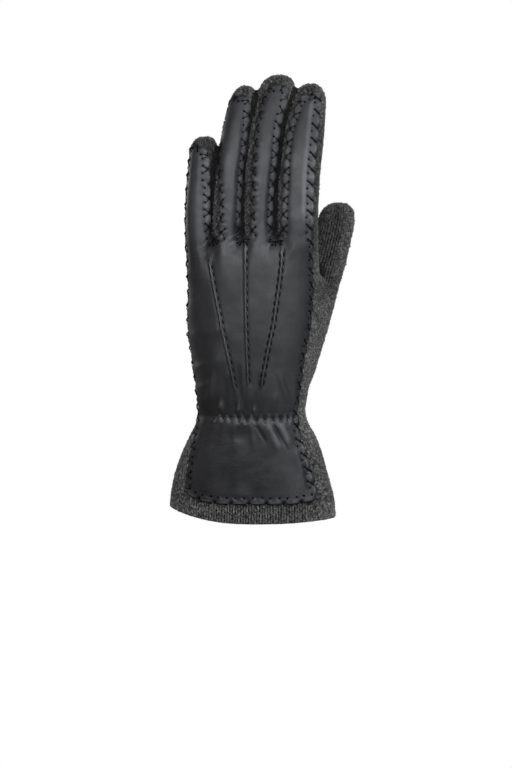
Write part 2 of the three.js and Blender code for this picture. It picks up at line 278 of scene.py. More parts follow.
def hand_point(z, angle, grow=0.0, domed=True):
    z = np.asarray(z, float)
    row = hand_table.at(z)
    left, right, back, palm, square = (row[..., k] for k in range(5))
    scale = dome_scale(z, HAND_TIP, HAND_DOME, grow) if domed else 1
    half_x = ((right - left) / 2 + grow) * scale
    half_y = ((palm - back) / 2 + grow) * scale
    return on_outline((left + right) / 2, (back + palm) / 2, half_x, half_y, angle, square, z)


def digit_point(digit, z, angle, grow=0.0):
    z = np.asarray(z, float)
    row = digit["table"].at(z)
    scale = dome_scale(z, digit["tip"], digit["dome"], grow)
    half_x = (row[..., 2] + grow) * scale
    half_y = (row[..., 3] + grow) * scale
    return on_outline(row[..., 0], row[..., 1], half_x, half_y, angle, 2, z)


def hem_height(x, y):
    """Height of the cuff's lower edge below a place."""
    share = np.clip(np.abs((x - HEM_CENTRE) / HEM_REACH), 0, 1) ** 2.2
    side = np.where(x < HEM_CENTRE, HEM_LEFT, HEM_RIGHT)
    end = np.where(y < 0, HEM_FRONT, HEM_PALM)
    return end + (side - end) * share


def level_with_hem(points):
    """Points of a cuff with a level hem, moved to the true curved hem."""
    moved = points.copy()
    low = moved[:, 2] < 0
    scale = hem_height(moved[:, 0], moved[:, 1]) / HEM_LEVEL
    moved[low, 2] = (moved[:, 2] * scale)[low]
    return moved


def unit(vectors):
    length = np.linalg.norm(vectors, axis=-1, keepdims=True)
    return vectors / np.maximum(length, 1e-9)


def vertex_normals(points, quads):
    across = points[quads[:, 2]] - points[quads[:, 0]]
    along = points[quads[:, 3]] - points[quads[:, 1]]
    face = np.cross(across, along)
    total = np.zeros_like(points)
    for corner in range(4):
        for axis in range(3):
            total[:, axis] += np.bincount(quads[:, corner], face[:, axis], len(points))
    return unit(total)


def edges_of(quads):
    pairs = np.concatenate([quads[:, [k, (k + 1) % 4]] for k in range(4)])
    return np.unique(np.sort(pairs, axis=1), axis=0)


def arc_along(line):
    """Length of a line up to each of its points."""
    return np.concatenate([[0], np.cumsum(np.linalg.norm(np.diff(line, axis=0), axis=1))])


def interpolate(marks, arc, values):
    """Rows of values at marks along an arc."""
    return np.stack([np.interp(marks, arc, column) for column in values.T], 1)


def bell(distance, width):
    """1 at no distance, falling smoothly to both sides."""
    return np.exp(-((distance / width) ** 2))


def between_rings(layers):
    """Quads from each closed ring of vertex numbers to the next."""
    quads = [
        np.stack([low, np.roll(low, -1), np.roll(high, -1), high], 1)
        for low, high in zip(layers[:-1], layers[1:])
    ]
    return np.concatenate(quads)


def joined(parts):
    """All points and all faces of parts that each number their own points."""
    points = np.concatenate([vertices for vertices, _ in parts])
    starts = np.cumsum([0] + [len(vertices) for vertices, _ in parts])
    faces = np.concatenate([numbers + start for (_, numbers), start in zip(parts, starts)])
    return points, faces


def search_tree(points):
    tree = KDTree(len(points))
    for i, point in enumerate(points.tolist()):
        tree.insert(point, i)
    tree.balance()
    return tree


def relax(values, edges, rounds, share=0.5, held=None):
    """Moves each value towards the mean of its neighbours."""
    count = len(values)
    degree = np.bincount(edges.ravel(), minlength=count)[:, None]
    result = values.copy()
    for _ in range(rounds):
        total = np.zeros_like(result)
        for axis in range(result.shape[1]):
            total[:, axis] += np.bincount(edges[:, 0], result[edges[:, 1], axis], count)
            total[:, axis] += np.bincount(edges[:, 1], result[edges[:, 0], axis], count)
        moved = result + (total / degree - result) * share
        if held is not None:
            moved[held] = result[held]
        result = moved
    return result


def add_mesh(name, points, faces, material, slot=None):
    """A mesh object from millimetre points and an array of faces."""
    mesh = bpy.data.meshes.new(name)
    count, sides = faces.shape
    mesh.vertices.add(len(points))
    mesh.vertices.foreach_set("co", (points * MM).astype(np.float32).ravel())
    mesh.loops.add(faces.size)
    mesh.loops.foreach_set("vertex_index", faces.ravel().astype(np.int32))
    mesh.polygons.add(count)
    mesh.polygons.foreach_set("loop_start", np.arange(0, count * sides, sides, dtype=np.int32))
    mesh.update(calc_edges=True)
    mesh.validate()
    mesh.polygons.foreach_set("use_smooth", np.ones(len(mesh.polygons), bool))
    mesh.materials.append(material)
    made = bpy.data.objects.new(name, mesh)
    bpy.context.scene.collection.objects.link(made)
    if slot:
        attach(made, "root")
    return made


def add_attribute(made, name, values):
    """Gives a mesh one number for each of its points, which its material reads."""
    layer = made.data.attributes.new(name, "FLOAT", "POINT")
    layer.data.foreach_set("value", values.astype(np.float32))


def closed_loft(rings):
    """Points, quads and triangles of a closed skin over rings that run upwards."""
    count = len(rings)
    sides = len(rings[0])
    points = np.concatenate(rings + [rings[0].mean(0)[None], rings[-1].mean(0)[None]])
    layers = np.arange(count * sides).reshape(count, sides)
    bottom = np.full(sides, count * sides)
    triangles = [
        np.stack([bottom, np.roll(layers[0], -1), layers[0]], 1),
        np.stack([bottom + 1, layers[-1], np.roll(layers[-1], -1)], 1),
    ]
    return points, between_rings(layers), np.concatenate(triangles)


def convex(points):
    """The corners of the smallest convex outline round flat points."""
    ordered = sorted(map(tuple, points))
    halves = []
    for run in (ordered, ordered[::-1]):
        chain = []
        for p in run:
            while len(chain) > 1:
                a, b = chain[-2:]
                if (b[0] - a[0]) * (p[1] - a[1]) - (b[1] - a[1]) * (p[0] - a[0]) > 0:
                    break
                chain.pop()
            chain.append(p)
        halves += chain[:-1]
    return np.array(halves)


# The outlines that the glove's skin is lofted from: points round each, and millimetres from one to the next.
SKIN_SIDES = 96
SKIN_STEP = 1.5


def web_ring(z, grow):
    """Outline at one height of the knitting that spans the hollow between the hand's edge and the thumb."""
    hand = hand_point(z, np.radians(np.arange(52, 111, 3)), grow - 0.5)
    row = THUMB["table"].at(z)
    thumb = digit_point(THUMB, z, np.radians(np.arange(-30, 121, 5)), grow - 0.4)
    away = smoothstep(60, 80, z)
    thumb[:, 0] += (25 - row[0]) * away
    thumb[:, 1] += (2 - row[1]) * away
    corners = convex(np.concatenate([hand, thumb])[:, :2])
    closed = np.concatenate([corners, corners[:1]])
    arc = arc_along(closed)
    start = arc[np.argmin(closed[:-1, 1])]
    marks = (start + np.arange(SKIN_SIDES) / SKIN_SIDES * arc[-1]) % arc[-1]
    ring = interpolate(marks, arc, closed)
    return np.concatenate([ring, np.full((SKIN_SIDES, 1), z)], 1)


def voxel_skin(voxel, grow, rounds):
    """The knitted glove's whole outer face as one smooth closed skin, run on below its level hem."""
    angles = np.linspace(0, 2 * np.pi, SKIN_SIDES, endpoint=False)
    lofts = []
    hand_levels = np.concatenate([np.arange(-66, 88, SKIN_STEP), 88 + 9 * np.linspace(0, 0.985, 9)])
    lofts.append(closed_loft([hand_point(z, angles, grow) for z in hand_levels]))
    for digit, root in [(f, FINGER_ROOT) for f in FINGERS] + [(THUMB, THUMB_ROOT)]:
        start = digit["tip"] - digit["dome"]
        shares = np.sin(np.linspace(0, np.pi / 2, 12)) * 0.997
        digit_levels = np.concatenate([np.arange(root, start, SKIN_STEP), start + digit["dome"] * shares])
        lofts.append(closed_loft([digit_point(digit, z, angles, grow) for z in digit_levels]))
    lofts.append(closed_loft([web_ring(z, grow) for z in np.arange(12, 79, SKIN_STEP)]))
    offset = 0
    all_points = []
    all_faces = []
    for points, quads, triangles in lofts:
        all_points.append(points)
        all_faces.extend((quads + offset).tolist())
        all_faces.extend((triangles + offset).tolist())
        offset += len(points)
    mesh = bpy.data.meshes.new("skin")
    mesh.from_pydata(np.concatenate(all_points).tolist(), [], all_faces)
    temporary = bpy.data.objects.new("skin", mesh)
    bpy.context.scene.collection.objects.link(temporary)
    remesh = temporary.modifiers.new("voxels", "REMESH")
    remesh.mode = "VOXEL"
    remesh.voxel_size = voxel
    remesh.adaptivity = 0
    evaluated = temporary.evaluated_get(bpy.context.evaluated_depsgraph_get())
    result = evaluated.to_mesh()
    points = np.empty(len(result.vertices) * 3, np.float32)
    result.vertices.foreach_get("co", points)
    points = points.reshape(-1, 3).astype(float)
    quads = np.empty(len(result.loops), np.int32)
    result.loops.foreach_get("vertex_index", quads)
    quads = quads.reshape(-1, 4)
    evaluated.to_mesh_clear()
    bpy.data.objects.remove(temporary)
    bpy.data.meshes.remove(mesh)
    return relax(points, edges_of(quads), rounds), quads


base_points, base_quads = voxel_skin(0.9, 0.12, 10)
base_points = level_with_hem(base_points)
base_normals = relax(vertex_normals(base_points, base_quads), edges_of(base_quads), 3)
base_face_normals = unit(base_normals[base_quads].mean(1))
base_tree = BVHTree.FromPolygons(base_points.tolist(), base_quads.tolist())


def project(points):
    """Nearest places on the knitted glove's outer face, their normals and how far they are."""
    shape = points.shape[:-1]
    flat = points.reshape(-1, 3)
    found = np.empty_like(flat)
    faces = np.empty(len(flat), int)
    distance = np.empty(len(flat))
    for i, point in enumerate(flat.tolist()):
        place, _, face, far = base_tree.find_nearest(point)
        found[i] = place
        faces[i] = face
        distance[i] = far
    normals = base_face_normals[faces]
    return found.reshape(points.shape), normals.reshape(points.shape), distance.reshape(shape)


# Materials.


def new_material(name, roughness, specular=0.5):
    material = bpy.data.materials.new(name)
    material.use_nodes = True
    shader = material.node_tree.nodes["Principled BSDF"]
    shader.inputs["Roughness"].default_value = roughness
    shader.inputs["Specular IOR Level"].default_value = specular
    return material, material.node_tree, shader


def texture(tree, kind, scale, place, **settings):
    node = tree.nodes.new(kind)
    node.inputs["Scale"].default_value = scale
    for key, value in settings.items():
        if key in node.inputs:
            node.inputs[key].default_value = value
        else:
            setattr(node, key, value)
    tree.links.new(place, node.inputs["Vector"])
    return node


def ramp(tree, source, *stops):
    """Colours along a value: each stop is its position and a colour or a grey."""
    node = tree.nodes.new("ShaderNodeValToRGB")
    elements = node.color_ramp.elements
    while len(elements) < len(stops):
        elements.new(0.5)
    for element, (position, color) in zip(elements, stops):
        element.position = position
        element.color = (*color, 1) if isinstance(color, tuple) else (color, color, color, 1)
    tree.links.new(source, node.inputs["Fac"])
    return node.outputs["Color"]


def bump(tree, height, strength, distance, previous=None):
    node = tree.nodes.new("ShaderNodeBump")
    node.inputs["Strength"].default_value = strength
    node.inputs["Distance"].default_value = distance
    tree.links.new(height, node.inputs["Height"])
    if previous:
        tree.links.new(previous, node.inputs["Normal"])
    return node.outputs["Normal"]


def mix_colors(tree, factor, first, second, blend="MIX"):
    node = tree.nodes.new("ShaderNodeMix")
    node.data_type = "RGBA"
    node.blend_type = blend
    if isinstance(factor, float):
        node.inputs["Factor"].default_value = factor
    else:
        tree.links.new(factor, node.inputs["Factor"])
    tree.links.new(first, node.inputs["A"])
    tree.links.new(second, node.inputs["B"])
    return node.outputs["Result"]


def noise(tree, scale, place, **settings):
    return texture(tree, "ShaderNodeTexNoise", scale, place, **settings).outputs["Fac"]


def object_place(tree):
    return tree.nodes.new("ShaderNodeTexCoord").outputs["Object"]


def attribute(tree, name):
    node = tree.nodes.new("ShaderNodeAttribute")
    node.attribute_name = name
    return node.outputs["Fac"]


def stretched(tree, place, scale):
    node = tree.nodes.new("ShaderNodeMapping")
    node.inputs["Scale"].default_value = scale
    tree.links.new(place, node.inputs["Vector"])
    return node.outputs["Vector"]


def make_leather():
    """Thin black nappa: fine grain, small crinkles, slow changes of tone and a soft sheen, lighter where
    highlights and rubbed wear are painted and darker where shade is painted.
    """
    material, tree, shader = new_material("leather", 0.45, 0.5)
    place = object_place(tree)
    wear_and_highlight = attribute(tree, "wear_and_highlight")
    painted_shade = attribute(tree, "painted_shade")
    tone = noise(tree, 55, place, Detail=4.0, Roughness=0.55)
    color = ramp(tree, tone, (0.32, (0.005, 0.005, 0.006)), (0.68, (0.016, 0.016, 0.0188)))
    # Painted highlights, with rubbed wear on the tucks' crests, lighten the colour here.
    rubbed_and_lit = ramp(tree, tone, (0.3, (0.085, 0.085, 0.09)), (0.7, (0.14, 0.14, 0.145)))
    worn_and_lit = mix_colors(tree, wear_and_highlight, color, rubbed_and_lit)
    # Painted shade darkens the colour here and raises the roughness below.
    deep = ramp(tree, painted_shade, (0.0, 1), (1.0, 0.12))
    tree.links.new(mix_colors(tree, 1.0, worn_and_lit, deep, "MULTIPLY"), shader.inputs["Base Color"])
    gloss = ramp(tree, noise(tree, 90, place, Detail=5.0, Roughness=0.6), (0.3, 0.36), (0.7, 0.53))
    dull = ramp(tree, painted_shade, (0.0, 0), (1.0, 0.5))
    tree.links.new(mix_colors(tree, 1.0, gloss, dull, "ADD"), shader.inputs["Roughness"])
    crinkle = noise(tree, 280, stretched(tree, place, (0.75, 0.75, 1.25)), Detail=3.0)
    grain = texture(tree, "ShaderNodeTexVoronoi", 1500, place, Randomness=1.0)
    relief = bump(tree, crinkle, 0.2, 0.0005)
    relief = bump(tree, grain.outputs["Distance"], 0.22, 0.0002, relief)
    relief = bump(tree, noise(tree, 2600, place, Detail=3.0), 0.16, 0.00012, relief)
    tree.links.new(relief, shader.inputs["Normal"])
    return material


def make_wool(name, dark, middle, light, sheen, each_stitch):
    """Heathered wool: specks of lighter and darker fibre, a soft halo and fine fibre relief."""
    material, tree, shader = new_material(name, 0.95, 0.2)
    place = object_place(tree)
    heather = noise(tree, 750, place, Detail=3.0, Roughness=0.7)
    color = ramp(tree, heather, (0.38, dark), (0.5, middle), (0.64, light))
    shade = ramp(tree, noise(tree, 60, place, Detail=2.0), (0.3, 0.85), (0.7, (1.13, 1.12, 1.11)))
    color = mix_colors(tree, 1.0, color, shade, "MULTIPLY")
    if each_stitch:
        tone = ramp(tree, attribute(tree, "tone"), (0.0, 0.35), (1.0, 1.65))
        color = mix_colors(tree, 1.0, color, tone, "MULTIPLY")
    tree.links.new(color, shader.inputs["Base Color"])
    fibre = noise(tree, 3600, place, Detail=4.0, Roughness=0.7)
    tree.links.new(bump(tree, fibre, 0.6, 0.00025), shader.inputs["Normal"])
    shader.inputs["Sheen Weight"].default_value = sheen
    shader.inputs["Sheen Roughness"].default_value = 0.5
    shader.inputs["Sheen Tint"].default_value = (0.74, 0.73, 0.72, 1)
    return material


def make_thread(name, color, roughness, specular):
    """Sewing thread, lighter where its twist catches the light."""
    material, tree, shader = new_material(name, roughness, specular)
    fibre = noise(tree, 2400, object_place(tree), Detail=2.0)
    lighter = tuple(1.7 * c for c in color)
    tree.links.new(ramp(tree, fibre, (0.3, color), (0.7, lighter)), shader.inputs["Base Color"])
    tree.links.new(bump(tree, fibre, 0.4, 0.00015), shader.inputs["Normal"])
    return material


leather = make_leather()
wool = make_wool("wool", (0.028, 0.0274, 0.0268), (0.085, 0.083, 0.081), (0.19, 0.185, 0.18), 0.3, True)
# Near-black wool for the backing: painted shade in the gaps between the stitches.
backing_shade = make_wool("backing_shade", 0.004, (0.008, 0.008, 0.0075), (0.016, 0.016, 0.015), 0.02, False)
thread = make_thread("thread", (0.0022, 0.0022, 0.0025), 0.7, 0.16)
# Near black and matte: painted shade of the stitch holes, with the black thread in them.
hole_shade = make_thread("hole_shade", (0.0008, 0.0008, 0.0008), 0.95, 0.0)

# The backing of the knitting: a hollow shell under the stitches, open at the hem; its near-black wool is
# painted shade in the gaps between the stitches.

OUTER_DEPTH = 0.7
INNER_DEPTH = 2.1
BACKING_END = -59.6
LIP_ROLL = 0.9
LIP_LAYERS = 4


def make_backing():
    points, quads = voxel_skin(2.0, 0.3, 6)
    normals = vertex_normals(points, quads)
    normals = unit(relax(normals, edges_of(quads), 2))
    quads = quads[(points[quads][:, :, 2] > BACKING_END).any(1)]
    used = np.unique(quads)
    renumber = np.full(len(points), -1)
    renumber[used] = np.arange(len(used))
    points = points[used]
    normals = normals[used]
    quads = renumber[quads]
    points[:, 2] = np.maximum(points[:, 2], BACKING_END)
    points = level_with_hem(points)
    outer = points - normals * OUTER_DEPTH
    inner = points - normals * INNER_DEPTH
    pairs = np.concatenate([quads[:, [k, (k + 1) % 4]] for k in range(4)])
    _, back, uses = np.unique(np.sort(pairs, axis=1), axis=0, return_inverse=True, return_counts=True)
    rim = pairs[uses[back.ravel()] == 1]
    count = len(points)
    lip = np.unique(rim)
    renumber = np.full(count, -1)
    renumber[lip] = np.arange(len(lip))
    middle = (outer[lip] + inner[lip]) / 2
    reach = (outer[lip] - inner[lip]) / 2
    turns = np.linspace(0, np.pi, LIP_LAYERS + 2)[1:-1]
    rolled = [middle + reach * math.cos(t) - np.array([0, 0, LIP_ROLL]) * math.sin(t) for t in turns]
    layers = [renumber[rim] + 2 * count + k * len(lip) for k in range(LIP_LAYERS)]
    layers = [rim] + layers + [rim + count]
    bands = [np.concatenate([low[:, ::-1], high], 1) for low, high in zip(layers[:-1], layers[1:])]
    faces = np.concatenate([quads, quads[:, ::-1] + count] + bands)
    made = add_mesh("knit_backing_shade", np.concatenate([outer, inner] + rolled), faces, backing_shade, "knit")
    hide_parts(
        "knit_hand",
        "knit_thumb",
        "knit_little_finger",
        "knit_ring_finger",
        "knit_middle_finger",
        "knit_index_finger",
    )


make_backing()

# The leather: one grid over the cuff and hand that divides into four finger strips.

# The three tucks: the line of each one's top, from the gathered wrist up to the fork between two fingers.
TUCKS = [
    [(-50, -10.0), (-10, -5.6), (0, -4.6), (13, -6.4), (48, -13.8), (82, -21.1), (89, -21.6), (95, -21.7)],
    [(-50, 0.8), (-10, 0.6), (0, 0.6), (16, 0.4), (55, -1.0), (82, -1.7), (94, -2.0), (98, -2.6)],
    [(-50, 12.0), (-10, 6.5), (0, 5.0), (15, 7.4), (34, 10.8), (52, 14.3), (89, 18.2), (98, 15.2)],
]
TUCK_ENDS = [(13, 82), (16, 94), (15, 89)]

# The narrow strips round the tucks: height and left edge, and the left and right edge at each one's fork.
STRIP_WIDTH = 4
STRIP_EDGES = [
    [(-50, -12), (-10, -7.6), (0, -6.6), (13, -8.4), (48, -15.8), (82, -23.1)],
    [(-50, -1.2), (-10, -1.4), (0, -1.4), (16, -1.6), (55, -3), (82, -3.7)],
    [(-50, 10), (-10, 4.5), (0, 3), (15, 5.4), (34, 8.8), (52, 12.3), (82, 15.9)],
]
FORKS = [(-22.9, -16.3), (-7.4, 0.9), (10.9, 18.1)]


def strip_table(edges, fork):
    rows = [(z, left, left + STRIP_WIDTH) for z, left in edges]
    _, left, right = rows[-1]
    rows.append((89, 0.5 * (left + fork[0]), 0.5 * (right + fork[1])))
    rows.append((BACK_TOP, *fork))
    return Table(rows)


tuck_tables = [Table(rows) for rows in TUCKS]
strip_tables = [strip_table(edges, fork) for edges, fork in zip(STRIP_EDGES, FORKS)]

# Columns of the grid on each strip, left to right, and the height of a row.
COLUMNS = [34, 10, 22, 10, 22, 10, 40]
ROW_STEP = 0.6


def angle_at_x(z, x):
    """The hand's angle where its front has a given X."""
    row = hand_table.at(z)
    centre = (row[..., 0] + row[..., 1]) / 2
    half = (row[..., 1] - row[..., 0]) / 2
    share = np.clip((x - centre) / half, -1, 1)
    return np.arcsin(np.sign(share) * np.abs(share) ** (row[..., 4] / 2))


def leather_edge(across):
    """Height of the leather's lower edge, from -1 at its left to 1 at its right."""
    side = np.where(across < 0, LEATHER_LEFT, LEATHER_RIGHT)
    return LEATHER_MIDDLE + (side - LEATHER_MIDDLE) * across**4


# Between these heights the leather passes from the hand's outline to the fingers' own.
PASS_TO_FINGERS = (82, 97)
FORK_DIP = 1.6
TIP_GAP = 6
TIP_ROUNDING = 4.5
FINGER_ROW_STEP = 0.58
OUTLINE_POINTS = 500
strip_starts = np.cumsum([0] + COLUMNS)


def column_shares(k, count):
    """Where the columns of one strip stand across it: closer at the middle of the narrow strips."""
    u = np.linspace(0, 1, count + 1)
    if k % 2:
        u = u + 0.4 * np.sin(2 * np.pi * u) / (2 * np.pi)
    return u if k == 0 else u[1:]


def finger_span(k):
    """First and last column of a finger's strip, and the shares of its columns."""
    low, high = strip_starts[2 * k], strip_starts[2 * k + 1]
    return low, high, np.linspace(0, 1, high - low + 1)


def towards_fingers(row, level):
    """How one row of the hand's grid has to move to lie on the fingers, with a dip at each fork."""
    shift = np.zeros_like(row)
    for k, finger in enumerate(FINGERS):
        low, high, u = finger_span(k)
        start, end = np.radians(finger["table"].at(level)[4:6])
        target = digit_point(finger, np.full(len(u), level), start + (end - start) * u)
        shift[low : high + 1] = target - row[low : high + 1]
    for k in range(3):
        low, high = strip_starts[2 * k + 1], strip_starts[2 * k + 2]
        u = np.linspace(0, 1, high - low + 1)[:, None]
        shift[low : high + 1] = shift[low] * (1 - u) + shift[high] * u
        shift[low : high + 1, 2] -= FORK_DIP * (4 * u[:, 0] * (1 - u[:, 0]))
    return shift


def make_hand_block():
    """Guess points of the grid on the cuff and hand, and their distances from the three tucks."""
    shares = [column_shares(k, count) for k, count in enumerate(COLUMNS)]
    levels = np.concatenate(
        [
            np.arange(LEATHER_MIDDLE, -8, ROW_STEP),
            np.arange(-8, 2, ROW_STEP / 2),
            np.linspace(2, BACK_TOP, round((BACK_TOP - 2) / ROW_STEP)),
        ]
    )
    guess = np.zeros((len(levels), strip_starts[-1] + 1, 3))
    tuck = np.zeros_like(guess)
    for r, level in enumerate(levels):
        first, last = np.radians(back_table.at(level))
        edges = [first]
        for table in strip_tables:
            left, right = table.at(level)
            edges += [float(angle_at_x(level, left)), float(angle_at_x(level, right))]
        edges.append(last)
        fine = np.linspace(first, last, OUTLINE_POINTS)
        arc = arc_along(hand_point(np.full(OUTLINE_POINTS, level), fine, 0, domed=False))
        marks = np.interp(edges, fine, arc)
        strips = zip(marks[:-1], marks[1:], shares)
        places = np.concatenate([start + (end - start) * share for start, end, share in strips])
        angles = np.interp(places, arc, fine)
        across = 2 * (angles - first) / (last - first) - 1
        z = np.where(level < 0, level * leather_edge(across) / LEATHER_MIDDLE, level)
        ends = np.radians(back_table.at(z))
        angles = ends[:, 0] + (ends[:, 1] - ends[:, 0]) * (across + 1) / 2
        guess[r] = hand_point(z, angles, 0, domed=False)
        for k, table in enumerate(tuck_tables):
            middle = float(angle_at_x(level, table.at(level)[0]))
            tuck[r, :, k] = places - np.interp(middle, fine, arc)
        guess[r] += towards_fingers(guess[r], level) * smoothstep(*PASS_TO_FINGERS, level)
    return guess, tuck


def make_finger_block(k, root):
    """Guess points of one finger's strip, from its root on the hand up to its rounded top."""
    finger = FINGERS[k]
    _, _, u = finger_span(k)
    across = 2 * u - 1
    tip = finger["tip"] - TIP_GAP
    top = tip + finger["lift"] + finger["slant"] * across - TIP_ROUNDING * across**4
    count = round((tip - BACK_TOP) / FINGER_ROW_STEP)
    rows = np.zeros((count, len(u), 3))
    for r in range(count):
        z = BACK_TOP + (top - BACK_TOP) * (r + 1) / count
        ends = np.radians(finger["table"].at(z)[:, 4:6])
        place = digit_point(finger, z, ends[:, 0] + (ends[:, 1] - ends[:, 0]) * u)
        weight = smoothstep(*PASS_TO_FINGERS, z)[:, None]
        flat = root.copy()
        flat[:, 2] = z
        rows[r] = place * weight + flat * (1 - weight)
    return rows


FAR_FROM_TUCKS = 99.0
hand_guess, hand_tuck = make_hand_block()
hand_index = np.arange(hand_guess[..., 0].size).reshape(hand_guess.shape[:2])
leather_guess = [hand_guess.reshape(-1, 3)]
leather_tuck = [hand_tuck.reshape(-1, 3)]
finger_index = []
total = hand_index.size
for k in range(len(FINGERS)):
    low, high, _ = finger_span(k)
    block = make_finger_block(k, hand_guess[-1, low : high + 1])
    numbers = total + np.arange(block[..., 0].size).reshape(block.shape[:2])
    finger_index.append(np.concatenate([hand_index[-1:, low : high + 1], numbers]))
    leather_guess.append(block.reshape(-1, 3))
    leather_tuck.append(np.full((numbers.size, 3), FAR_FROM_TUCKS))
    total += numbers.size
leather_guess = np.concatenate(leather_guess)
leather_tuck = np.concatenate(leather_tuck)


def grid_quads(numbers):
    corners = (numbers[:-1, :-1], numbers[:-1, 1:], numbers[1:, 1:], numbers[1:, :-1])
    return np.stack([corner.ravel() for corner in corners], 1)


leather_quads = np.concatenate([grid_quads(block) for block in [hand_index] + finger_index])
leather_edges = edges_of(leather_quads)
leather_base, _, _ = project(leather_guess)

# The closed loop round the leather, clockwise from the cuff's left corner, with the places of its corners.
loop = [hand_index[:, 0]]
corners = []
for k, block in enumerate(finger_index):
    loop += [block[1:, 0], block[-1, 1:-1], block[::-1, -1]]
    if k < 3:
        fork = hand_index[-1, strip_starts[2 * k + 1] + 1 : strip_starts[2 * k + 2]]
        centre = 2 if k == 0 else len(fork) // 2
        corners.append(sum(len(part) for part in loop) + centre)
        loop += [fork, finger_index[k + 1][0, :1]]
loop += [hand_index[-2::-1, -1]]
corners.append(sum(len(part) for part in loop) - 1)
loop += [hand_index[0, -2:0:-1]]
loop = np.concatenate(loop)
corners = [0] + corners + [len(loop)]

leather_base = relax(leather_base, leather_edges, 2, held=loop)
leather_normals = vertex_normals(leather_base, leather_quads)
leather_normals = unit(relax(leather_normals, leather_edges, 5))

# Stitches along the loop: one tab of leather between two crossings, with a hole on each side of a crossing.
loop_points = leather_base[loop]
closed = np.concatenate([loop_points, loop_points[:1]])
loop_arc = arc_along(closed)
phase = np.zeros(len(loop) + 1)

# The usual length of a tab on each stretch between two corners, the last on the cuff's hem.
TAB_PITCHES = [7.8, 7.8, 7.8, 7.8, 9.3]
EDGE_STEP = 0.2
for first, last, pitch in zip(corners[:-1], corners[1:], TAB_PITCHES):
    length = loop_arc[last] - loop_arc[first]
    tabs = max(1, round(length / pitch))
    phase[first : last + 1] = phase[first] + tabs * (loop_arc[first : last + 1] - loop_arc[first]) / length
tab_count = round(phase[-1])
fine_arc = np.arange(0, loop_arc[-1], EDGE_STEP)
edge_points = interpolate(fine_arc, loop_arc, closed)
closed_normals = leather_normals[np.concatenate([loop, loop[:1]])]
edge_normals = unit(interpolate(fine_arc, loop_arc, closed_normals))
edge_phase = np.interp(fine_arc, loop_arc, phase)
tangent = np.roll(edge_points, -4, axis=0) - np.roll(edge_points, 4, axis=0)
for _ in range(6):
    tangent = tangent + np.roll(tangent, -1, axis=0) + np.roll(tangent, 1, axis=0)
edge_tangent = unit(tangent)
edge_out = unit(np.cross(edge_normals, edge_tangent))
edge_pitch = np.gradient(fine_arc) / np.maximum(np.gradient(edge_phase), 1e-6)
edge_pitch = np.clip(edge_pitch, 6, 12)
edge_tree = search_tree(edge_points)


def near_edge(points):
    """For each point, its distance to the leather's edge and the number of the nearest place on it."""
    distance = np.empty(len(points))
    place = np.empty(len(points), int)
    for i, point in enumerate(points.tolist()):
        _, place[i], distance[i] = edge_tree.find(point)
    return distance, place


edge_distance, edge_place = near_edge(leather_base)

# Distance of the holes from the leather's edge: most on the index finger's thumb side, least on the hand's.
EDGE_DEPTH = 3.1
edge_x = edge_points[:, 0]
edge_height = edge_points[:, 2]
running_down = smoothstep(-0.3, -0.8, edge_tangent[:, 2])
running_up = smoothstep(0.3, 0.8, edge_tangent[:, 2])
thumb_side = running_down * smoothstep(15, 20, edge_x - 12 * smoothstep(97, 104, edge_height))
hand_thumb_side = thumb_side * smoothstep(-2, 6, edge_height) * smoothstep(97, 87, edge_height)
edge_depth = EDGE_DEPTH + 0.2 * thumb_side * smoothstep(90, 106, edge_height)
edge_depth -= 1.1 * hand_thumb_side + 0.4 * smoothstep(-38, -43, edge_height)
between_fingers = smoothstep(99, 104, edge_height) * smoothstep(-24, -20, edge_x)
edge_depth -= 1.3 * between_fingers * running_up * smoothstep(14, 10, edge_x)

# How far a hole is from its crossing, as a share of the pitch: less where the edge runs level.
hole_turn = 0.25 - 0.02 * smoothstep(0.7, 0.3, np.abs(edge_tangent[:, 2]))


def wave_noise(points, size, seed, count=14):
    """Smooth seeded relief between about -1 and 1, from a few plane waves."""
    waves = np.random.default_rng(seed)
    total = np.zeros(len(points))
    for _ in range(count):
        heading = waves.normal(size=3)
        heading /= np.linalg.norm(heading)
        length = size * waves.uniform(0.7, 1.6)
        total += np.sin(points @ heading * 2 * np.pi / length + waves.uniform(0, 2 * np.pi))
    return total / math.sqrt(count)


VIEW_COSINE = round(math.cos(math.radians(AZIMUTH)), 4)
VIEW_SINE = round(math.sin(math.radians(AZIMUTH)), 4)


def image_place(points):
    """Places as seen along the camera's azimuth, in millimetres to the right of and above the wrist."""
    return points[:, 0] * VIEW_COSINE + points[:, 1] * VIEW_SINE, points[:, 2]


def fold(points, start, end, width, fade=4.0):
    """A soft ridge along a line drawn on the front, fading at both ends."""
    x, z = image_place(points)
    along = np.array(end, float) - np.array(start, float)
    length = np.linalg.norm(along)
    along /= length
    dx = x - start[0]
    dz = z - start[1]
    t = dx * along[0] + dz * along[1]
    s = -dx * along[1] + dz * along[0]
    ends = smoothstep(-fade, fade, t) * (1 - smoothstep(length - fade, length + fade, t))
    return bell(s, width) * ends


